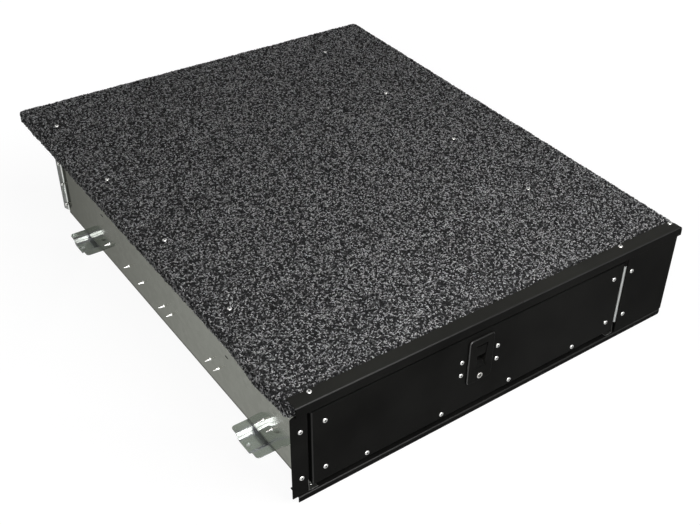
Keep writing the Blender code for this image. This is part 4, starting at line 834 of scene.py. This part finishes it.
faceZs = (0.0638, 0.1830)
latchX = latch["x"]
screwUsual = {"axis": "-Y", "shank": 0.0075, "body": "drawer", "size": "large"}
screwSets = {
    "face_screw": {"spots": [(x, 0, z) for x in (-0.4196, 0.4219) for z in faceZs], "body": "cabinet"},
    "drawer_screw": {"spots": [(x, 0, z) for x in (-0.3678, 0.3678) for z in faceZs]
                     + [(x, 0, 0.0420) for x in (-0.2739, -0.0933, 0.0858, 0.2685)]},
    "latch_screw": {"spots": [(latchX + x, 0, z) for x in (-0.0461, 0.0461) for z in (0.1234, 0.1575)]},
    "trim_screw": {"spots": [(x, 0.0210, 0.2448) for x in (-0.3856, 0.3957, 0.5511)], "axis": "Z",
                   "shank": 0.0140, "body": "cabinet"},
    "deck_screw": {"spots": [(x, y, 0.2424) for x in (-0.3859, 0.3859)
                             for y in (0.3020, 0.5740, 0.8560, 1.1445)],
                   "axis": "Z", "shank": 0.0275, "body": "cabinet"},
    "striker_screw": {"spots": [(latchX + x, 0.01125, 0.2203) for x in (-0.0200, 0.0200)], "axis": "-Z",
                      "shank": 0.0100, "body": "cabinet", "size": "small"},
}
screwFinishes = (screwPlate, screwSocket)
for setName, changes in screwSets.items():
    s = dict(screwUsual, **changes)
    pattern = screwShape(s["size"], s["shank"])
    for number, spot in enumerate(s["spots"], 1):
        placeScrew(setName.replace("_s", "S") + str(number), pattern, [spot], s["axis"], s["body"],
                   screwZinc, screwFinishes, [f"{setName}_{number}"], twist=number * 0.9)
    bpy.data.meshes.remove(pattern)

slideScrewYs = (0.1325, 0.163, 0.3402, 0.3751, 0.5486, 0.5838, 0.6858, 0.7585, 0.8626)
boxHalf = 0.3804
boxScrewYs = (0.0800, 0.2700, 0.5000, 0.7300, 0.9600)
pattern = screwShape("small", 0.0030)
# the slides' screws come through the sides from within, so their points stand out there
screwPoint = [(0, -0.0003), (0.0036, -0.0003), (0.0036, 0.0003), (0.0027, 0.0008), (0.0024, 0.0014),
              (0.0016, 0.0095), (0.0006, 0.0130), (0, 0.0130)]
point = takeMesh("pointPattern", turnedShape(screwPoint, 20))
for side, word, outward, inward in ((-1, "Left", "-X", "X"), (1, "Right", "X", "-X")):
    # the points take the brighter plating, a painted highlight
    placeScrew("slidePoints" + word, point, [(side * halfWidth, y, slideSheet["z"]) for y in slideScrewYs],
               outward, "cabinet", screwZinc, [pointPlate])
    placeScrew("boxScrews" + word, pattern, [(side * boxHalf, y, slideSheet["z"]) for y in boxScrewYs],
               inward, "drawer", screwZinc, screwFinishes)
bpy.data.meshes.remove(pattern)
bpy.data.meshes.remove(point)

rivetHead = {"radius": 0.0040, "height": 0.0012, "hole": 0.0011}
h = rivetHead
shape = turnedShape([(0, 0.0004), (h["hole"], 0.0004), (h["hole"] * 1.15, h["height"]),
                     (h["radius"] * 0.6, h["height"] * 0.92), (h["radius"] * 0.88, h["height"] * 0.6),
                     (h["radius"], 0.0002), (0.0019, 0.0001), (0.0019, -0.0030), (0, -0.0030)], 20)
pattern = takeMesh("rivetPattern", shape)
rearSpots = [(side * 0.4076, 1.1193, z) for side in (-1, 1) for z in (0.0415, 0.1006, 0.1597, 0.2050)]
tailSpots = [(x, sideSheet["backY"] - sideSheet["thickness"], z) for x, y, z in rearSpots]
baseSpots = [(side * 0.3904, y, 0.0153) for side in (-1, 1)
             for y in (0.0170, 0.1379, 0.2213, 0.9331, 1.0165)]
for name, spots, axis in (("rearRivets", rearSpots, "Y"), ("rearRivetTails", tailSpots, "-Y"),
                          ("baseRivets", baseSpots, "Z")):
    placeScrew(name, pattern, spots, axis, "cabinet", galvanised, [screwPlate])
bpy.data.meshes.remove(pattern)
print("stage: fasteners")


# carpet

carpetCut = {
    "left": -0.4354, "right": 0.5636, "front": 0.0050, "back": 1.2600, "corner": 0.0120, "low": 0.2222,
    "top": 0.2438, "round": 0.0030, "cell": 0.0058, "wave": 0.0024, "waveSize": 0.075, "nibble": 0.0010,
    "nibbleSize": 0.018, "swell": 0.0005, "bulge": 0.0060, "sag": 0.0035, "bulgeAt": 0.10,
    "bulgeHalf": 0.17, "pressedTop": 0.2426, "pressedBack": 0.0293, "pressedLeft": -0.4281,
    "thickness": 0.0012, "screwRoom": 0.0090, "looseEdge": 0.030,
}
yarn = {"length": 0.0053, "radius": 0.00103, "arch": 0.0013, "sink": 0.0002, "perMetre": 84000,
        "linerPerMetre": 13000, "tilt": 0.35, "least": (0.65, 0.75, 0.7), "most": (1.35, 1.3, 1.3)}
yarnCurls = {"hook": (0.0018, 0.0), "wave": (0.0, 0.0014)}
yarnShades = {
    "Soot": {"dark": (0.006, 0.006, 0.0065), "light": (0.014, 0.014, 0.015), "seed": 5, "curl": "wave"},
    "Charcoal": {"dark": (0.012, 0.012, 0.013), "light": (0.030, 0.030, 0.031), "seed": 3, "curl": "hook"},
    "Slate": {"dark": (0.030, 0.030, 0.031), "light": (0.080, 0.080, 0.082), "seed": 11, "curl": "wave"},
    "Grey": {"dark": (0.080, 0.080, 0.082), "light": (0.180, 0.180, 0.183), "seed": 23, "curl": "hook"},
    "Ash": {"dark": (0.170, 0.170, 0.173), "light": (0.320, 0.320, 0.324), "seed": 29, "curl": "hook"},
    "Silver": {"dark": (0.300, 0.300, 0.304), "light": (0.500, 0.500, 0.505), "seed": 37, "curl": "wave"},
    "Pearl": {"dark": (0.420, 0.420, 0.424), "light": (0.640, 0.640, 0.645), "seed": 41, "curl": "hook"},
}


# The same shape with its vertices and faces in a fixed order, so that the same yarn grows each run.
def inFixedOrder(shape):
    rank = {vertex: tuple(round(part, 5) for part in vertex.co) for vertex in shape.verts}
    ordered = bmesh.new()
    twins = {vertex: ordered.verts.new(vertex.co) for vertex in sorted(shape.verts, key=rank.get)}
    rings = []
    for face in shape.faces:
        ring = list(face.verts)
        start = ring.index(min(ring, key=rank.get))
        rings.append(ring[start:] + ring[:start])
    for ring in sorted(rings, key=lambda ring: [rank[vertex] for vertex in ring]):
        ordered.faces.new([twins[vertex] for vertex in ring])
    shape.free()
    return ordered


# The carpet's outer surface as an open grid with turned-down edges, and where yarn grows on it.
def carpetSheet(cut, screws):
    width, depth = cut["right"] - cut["left"], cut["back"] - cut["front"]
    middle = Vector(((cut["left"] + cut["right"]) / 2, (cut["front"] + cut["back"]) / 2, cut["top"]))
    shape = bmesh.new()
    bmesh.ops.create_grid(shape, x_segments=round(width / cut["cell"]), y_segments=round(depth / cut["cell"]),
                          size=0.5, matrix=Matrix.Translation(middle) @ Matrix.Diagonal((width, depth, 1, 1)))
    corner = cut["corner"]
    for vertex in shape.verts:
        away = vertex.co - middle
        over = Vector((max(abs(away.x) - width / 2 + corner, 0), max(abs(away.y) - depth / 2 + corner, 0)))
        if over.x and over.y and over.length > corner:
            pulled = over * corner / over.length
            vertex.co.x = middle.x + math.copysign(width / 2 - corner + pulled.x, away.x)
            vertex.co.y = middle.y + math.copysign(depth / 2 - corner + pulled.y, away.y)
    rim = [edge for edge in shape.edges if edge.is_boundary]
    drop = cut["top"] - cut["low"]
    for share in (0.34, 0.33, 0.33):
        lower = [edge for edge in shape.edges if edge.is_boundary]
        pullOut(shape, bmesh.ops.extrude_edge_only(shape, edges=lower), (0, 0, -drop * share))
    roundOff(shape, rim, cut["round"], 3)
    faceOutwards(shape, middle, (0, 0, 1))
    shape = inFixedOrder(shape)
    grows = shape.verts.layers.float.new("pileShare")
    for vertex in shape.verts:
        place = vertex.co
        away = place - middle
        edgeX = width / 2 - abs(away.x)
        edgeY = depth / 2 - abs(away.y)
        pull = max(0, 1 - max(min(edgeX, edgeY), 0) / cut["looseEdge"])
        wave = noise.noise(place / cut["waveSize"]) * cut["wave"]
        nibble = noise.noise(place / cut["nibbleSize"] + Vector((7, 3, 1))) * cut["nibble"]
        out = (wave + nibble) * pull
        if edgeX < edgeY:
            along = min(abs(place.y - cut["bulgeAt"]) / cut["bulgeHalf"], 1) if away.x < 0 else 1
            loose = 0.5 + 0.5 * math.cos(math.pi * along)
            out += cut["bulge"] * loose * pull * pull
            place.z -= cut["sag"] * loose * (1 - (place.z - cut["low"]) / drop)
            place.x += math.copysign(out, away.x)
        else:
            place.y += math.copysign(out, away.y)
        vertex[grows] = 1.0
        pressed = place.y < cut["pressedBack"] and place.x > cut["pressedLeft"]
        if place.z > cut["top"] - gap:
            place.z += noise.noise(place * 9) * cut["swell"]
            if pressed:
                place.z = cut["pressedTop"]
        if pressed:
            vertex[grows] = 0.0
        for spot in screws:
            if (Vector(spot[:2]) - place.xy).length < cut["screwRoom"]:
                vertex[grows] = 0.0
    return shape


# One short curled length of yarn, three-sided and closed, lying along x.
def yarnStrand(hook, sway):
    half = yarn["length"] / 2
    shape = turnedShape([(0, -half), (yarn["radius"], -half * 0.5), (yarn["radius"], half * 0.5), (0, half)], 3)
    bmesh.ops.transform(shape, verts=shape.verts, matrix=turns["X"])
    for vertex in shape.verts:
        share = vertex.co.x / half
        vertex.co.z += yarn["arch"] * (1 - share * share) - yarn["sink"]
        vertex.co.y += hook * share * share + sway * math.sin(math.pi * share)
    mesh = takeMesh("strand", shape)
    mesh.shade_smooth()
    return addObject("strand", mesh)


# Geometry nodes: scatter the strand on a surface, turned and sized at random.
def scatterTree(strand, perMetre, seed):
    tree = bpy.data.node_groups.new("pileScatter", "GeometryNodeTree")
    tree.interface.new_socket("Geometry", in_out="INPUT", socket_type="NodeSocketGeometry")
    tree.interface.new_socket("Geometry", in_out="OUTPUT", socket_type="NodeSocketGeometry")
    start = addNode(tree, "NodeGroupInput")
    share = addNode(tree, "GeometryNodeInputNamedAttribute", {"Name": "pileShare"}, data_type="FLOAT")
    many = calculate(tree, "MULTIPLY", share.outputs["Attribute"], perMetre)
    points = addNode(tree, "GeometryNodeDistributePointsOnFaces", {
        "Mesh": start.outputs[0], "Density": many, "Seed": seed})
    tilt = addNode(tree, "FunctionNodeRandomValue", {
        0: (-yarn["tilt"], -yarn["tilt"], 0.0), 1: (yarn["tilt"], yarn["tilt"], 2 * math.pi),
        "Seed": seed + 1}, data_type="FLOAT_VECTOR")
    turn = addNode(tree, "FunctionNodeRotateRotation", {
        "Rotation": points.outputs["Rotation"], "Rotate By": tilt.outputs["Value"]}, rotation_space="LOCAL")
    size = addNode(tree, "FunctionNodeRandomValue", {
        0: yarn["least"], 1: yarn["most"], "Seed": seed + 2}, data_type="FLOAT_VECTOR")
    shape = addNode(tree, "GeometryNodeObjectInfo", {"Object": strand}, transform_space="ORIGINAL")
    copies = addNode(tree, "GeometryNodeInstanceOnPoints", {
        "Points": points.outputs["Points"], "Instance": shape.outputs["Geometry"],
        "Rotation": turn.outputs["Rotation"], "Scale": size.outputs["Value"]})
    shade = addNode(tree, "FunctionNodeRandomValue", {"Seed": seed + 3}, data_type="FLOAT")
    stored = addNode(tree, "GeometryNodeStoreNamedAttribute", {
        "Geometry": copies.outputs["Instances"], "Name": "yarnShade", "Value": shade.outputs[1]},
        data_type="FLOAT", domain="INSTANCE")
    real = addNode(tree, "GeometryNodeRealizeInstances", {"Geometry": stored.outputs["Geometry"]})
    end = addNode(tree, "NodeGroupOutput")
    tree.links.new(real.outputs["Geometry"], end.inputs[0])
    return tree


def growPile(name, sheetMesh, strand, shade, perMetre, body, seed):
    piece = addObject(name, sheetMesh.copy())
    group = scatterTree(strand, perMetre, seed)
    piece.modifiers.new("pile", "NODES").node_group = group
    bake(piece)
    bpy.data.node_groups.remove(group)
    piece.data.materials.clear()
    piece.data.materials.append(shade)
    piece.data.shade_smooth()
    settle(piece, body, "carpet")


yarnFinishes = {word: yarnFinish("yarn" + word, look) for word, look in yarnShades.items()}
strands = {word: yarnStrand(*curl) for word, curl in yarnCurls.items()}
deckSheet = carpetSheet(carpetCut, screwSets["deck_screw"]["spots"] + screwSets["trim_screw"]["spots"])
deckCarpet = makeObject("deckCarpet", deckSheet, carpetGround)
deckSurface = deckCarpet.data.copy()
thicken(deckCarpet, carpetCut["thickness"])
settle(deckCarpet, "cabinet", "carpet", "deck_carpet")
for word, look in yarnShades.items():
    growPile("deckPile" + word, deckSurface, strands[look["curl"]], yarnFinishes[word],
             yarn["perMetre"] / len(yarnShades), "cabinet", look["seed"])
bpy.data.meshes.remove(deckSurface)

linerCut = dict(carpetCut, left=-0.3606, right=0.3606, front=0.0107, back=1.0445, low=0.0341, top=0.0371,
                corner=0.004, round=0.0010, cell=0.012, wave=0.0005, nibble=0.0003, bulge=0, sag=0,
                pressedBack=-1.0)
drawerLiner = makeObject("drawerLiner", carpetSheet(linerCut, []), carpetGround)
linerSurface = drawerLiner.data.copy()
thicken(drawerLiner, carpetCut["thickness"])
settle(drawerLiner, "drawer", "carpet", "drawer_liner")
for word in ("Charcoal", "Grey"):
    growPile("linerPile" + word, linerSurface, strands["hook"], yarnFinishes[word], yarn["linerPerMetre"],
             "drawer", yarnShades[word]["seed"] + 50)
bpy.data.meshes.remove(linerSurface)
for strand in strands.values():
    bpy.data.objects.remove(strand, do_unlink=True)
print("stage: carpet")


# studio

# 1 for rays from the camera and for what gloss and glass show, 0 for diffuse light.
def seenRays(tree):
    paths = addNode(tree, "ShaderNodeLightPath").outputs
    seen = calculate(tree, "MAXIMUM", paths["Is Camera Ray"], paths["Is Glossy Ray"])
    return calculate(tree, "MAXIMUM", seen, paths["Is Transmission Ray"])


floorSheet = {"size": 60.0, "colour": (0.93, 0.93, 0.93), "nearLift": 0.90, "fade": 0.6, "white": 1.03}
shape = bmesh.new()
bmesh.ops.create_grid(shape, x_segments=1, y_segments=1, size=floorSheet["size"] / 2)
studioFloor = makeObject("studioFloor", shape, placed=True)
made, tree, shader = newFinish("studioPaper", floorSheet["colour"], 0.9)
shader.inputs["Specular IOR Level"].default_value = 0.0
# the paper is white away from the object, keeps a soft shadow beside it and is dark where it stands
place = addNode(tree, "ShaderNodeTexCoord").outputs["Object"]
# each footprint's left, right, front and back, and how far its edge is soft
footprints = [(-0.3850, 0.5600, 0.0050, 1.2400, 0.1600)] + [
    (-memberSheet["half"], memberSheet["half"], *(start + part for part in memberSheet["footprint"]), 0.0040)
    for start in memberSheet["starts"].values()]
away = beside = None
for left, right, front, back, soft in footprints:
    middle = Vector(((left + right) / 2, (front + back) / 2, 0)) + cabinetAt
    half = ((right - left) / 2, (back - front) / 2, 0)
    offset = place
    for operation, values in (("SUBTRACT", [middle]), ("ABSOLUTE", []), ("SUBTRACT", [half])):
        offset = calculate(tree, operation, offset, *values, kind="ShaderNodeVectorMath")
    sides = splitVector(tree, offset)
    reach = calculate(tree, "MAXIMUM", sides["X"], sides["Y"])
    edge = spread(tree, reach, 0.0, floorSheet["nearLift"], -soft, 0.0)
    away = calculate(tree, "MINIMUM", away, reach) if away else reach
    beside = calculate(tree, "MINIMUM", beside, edge) if beside else edge
beyond = spread(tree, away, 0.0, 1 - floorSheet["nearLift"], 0.0, floorSheet["fade"])
lift = calculate(tree, "MULTIPLY", seenRays(tree), calculate(tree, "ADD", beside, beyond))
glow = addNode(tree, "ShaderNodeEmission", {"Color": (1, 1, 1, 1), "Strength": floorSheet["white"]})
mixed = addNode(tree, "ShaderNodeMixShader", {0: lift, 1: shader.outputs[0], 2: glow.outputs[0]})
tree.links.new(mixed.outputs[0], tree.nodes["Material Output"].inputs["Surface"])
studioFloor.data.materials.append(made)

world = bpy.data.worlds.new("studioWorld")
bpy.context.scene.world = world
world.use_nodes = True
tree = world.node_tree
tree.nodes.clear()
skyLight = 0.21  # diffuse light from all round
sky = addNode(tree, "ShaderNodeBackground", {
    "Color": (1, 1, 1, 1), "Strength": spread(tree, seenRays(tree), skyLight, 1.0)})
out = addNode(tree, "ShaderNodeOutputWorld")
tree.links.new(sky.outputs[0], out.inputs["Surface"])

lampsAim = Vector((0, 0, 0.15))
lamps = {
    "frontSoftbox": {"from": (-0.02, -1.24, 1.05), "size": (0.9, 0.9), "power": 16},
    "rightSoftbox": {"from": (1.9, -3.2, 2.3), "size": (1.6, 1.0), "power": 3.2},
    "leftSoftbox": {"from": (-1.5, -2.7, 1.7), "size": (0.7, 0.7), "power": 16},
    "frontCard": {"from": (-0.60, -1.95, 0.85), "size": (2.0, 1.3), "power": 26, "glossOnly": True},
    "highCard": {"from": (-1.09, -1.25, 1.91), "size": (0.6, 0.5), "power": 24, "glossOnly": True},
}
for name, s in lamps.items():
    light = bpy.data.lights.new(name, "AREA")
    light.shape = "RECTANGLE"
    light.size, light.size_y = s["size"]
    light.energy = s["power"]
    lamp = addObject(name, light)
    lamp.visible_diffuse = not s.get("glossOnly")
    lamp.location = s["from"]
    lamp.rotation_euler = (lampsAim - Vector(s["from"])).to_track_quat("-Z", "Y").to_euler()

shot = {"at": (-1.14165, -1.73154, 1.50920), "turn": (52.13529558, -2.52419994, -37.27122836),
        "lens": 53.25745989, "shift": (-0.09438110714, 0.033494808571)}
view = bpy.data.cameras.new("photoCamera")
view.sensor_fit = "HORIZONTAL"
view.sensor_width = 36
view.lens = shot["lens"]
view.shift_x, view.shift_y = shot["shift"]
view.clip_start, view.clip_end = 0.01, 100
camera = addObject("photoCamera", view)
camera.location = shot["at"]
camera.rotation_euler = [math.radians(angle) for angle in shot["turn"]]
bpy.context.scene.camera = camera
bpy.context.scene.view_settings.view_transform = "Standard"
print("stage: studio")
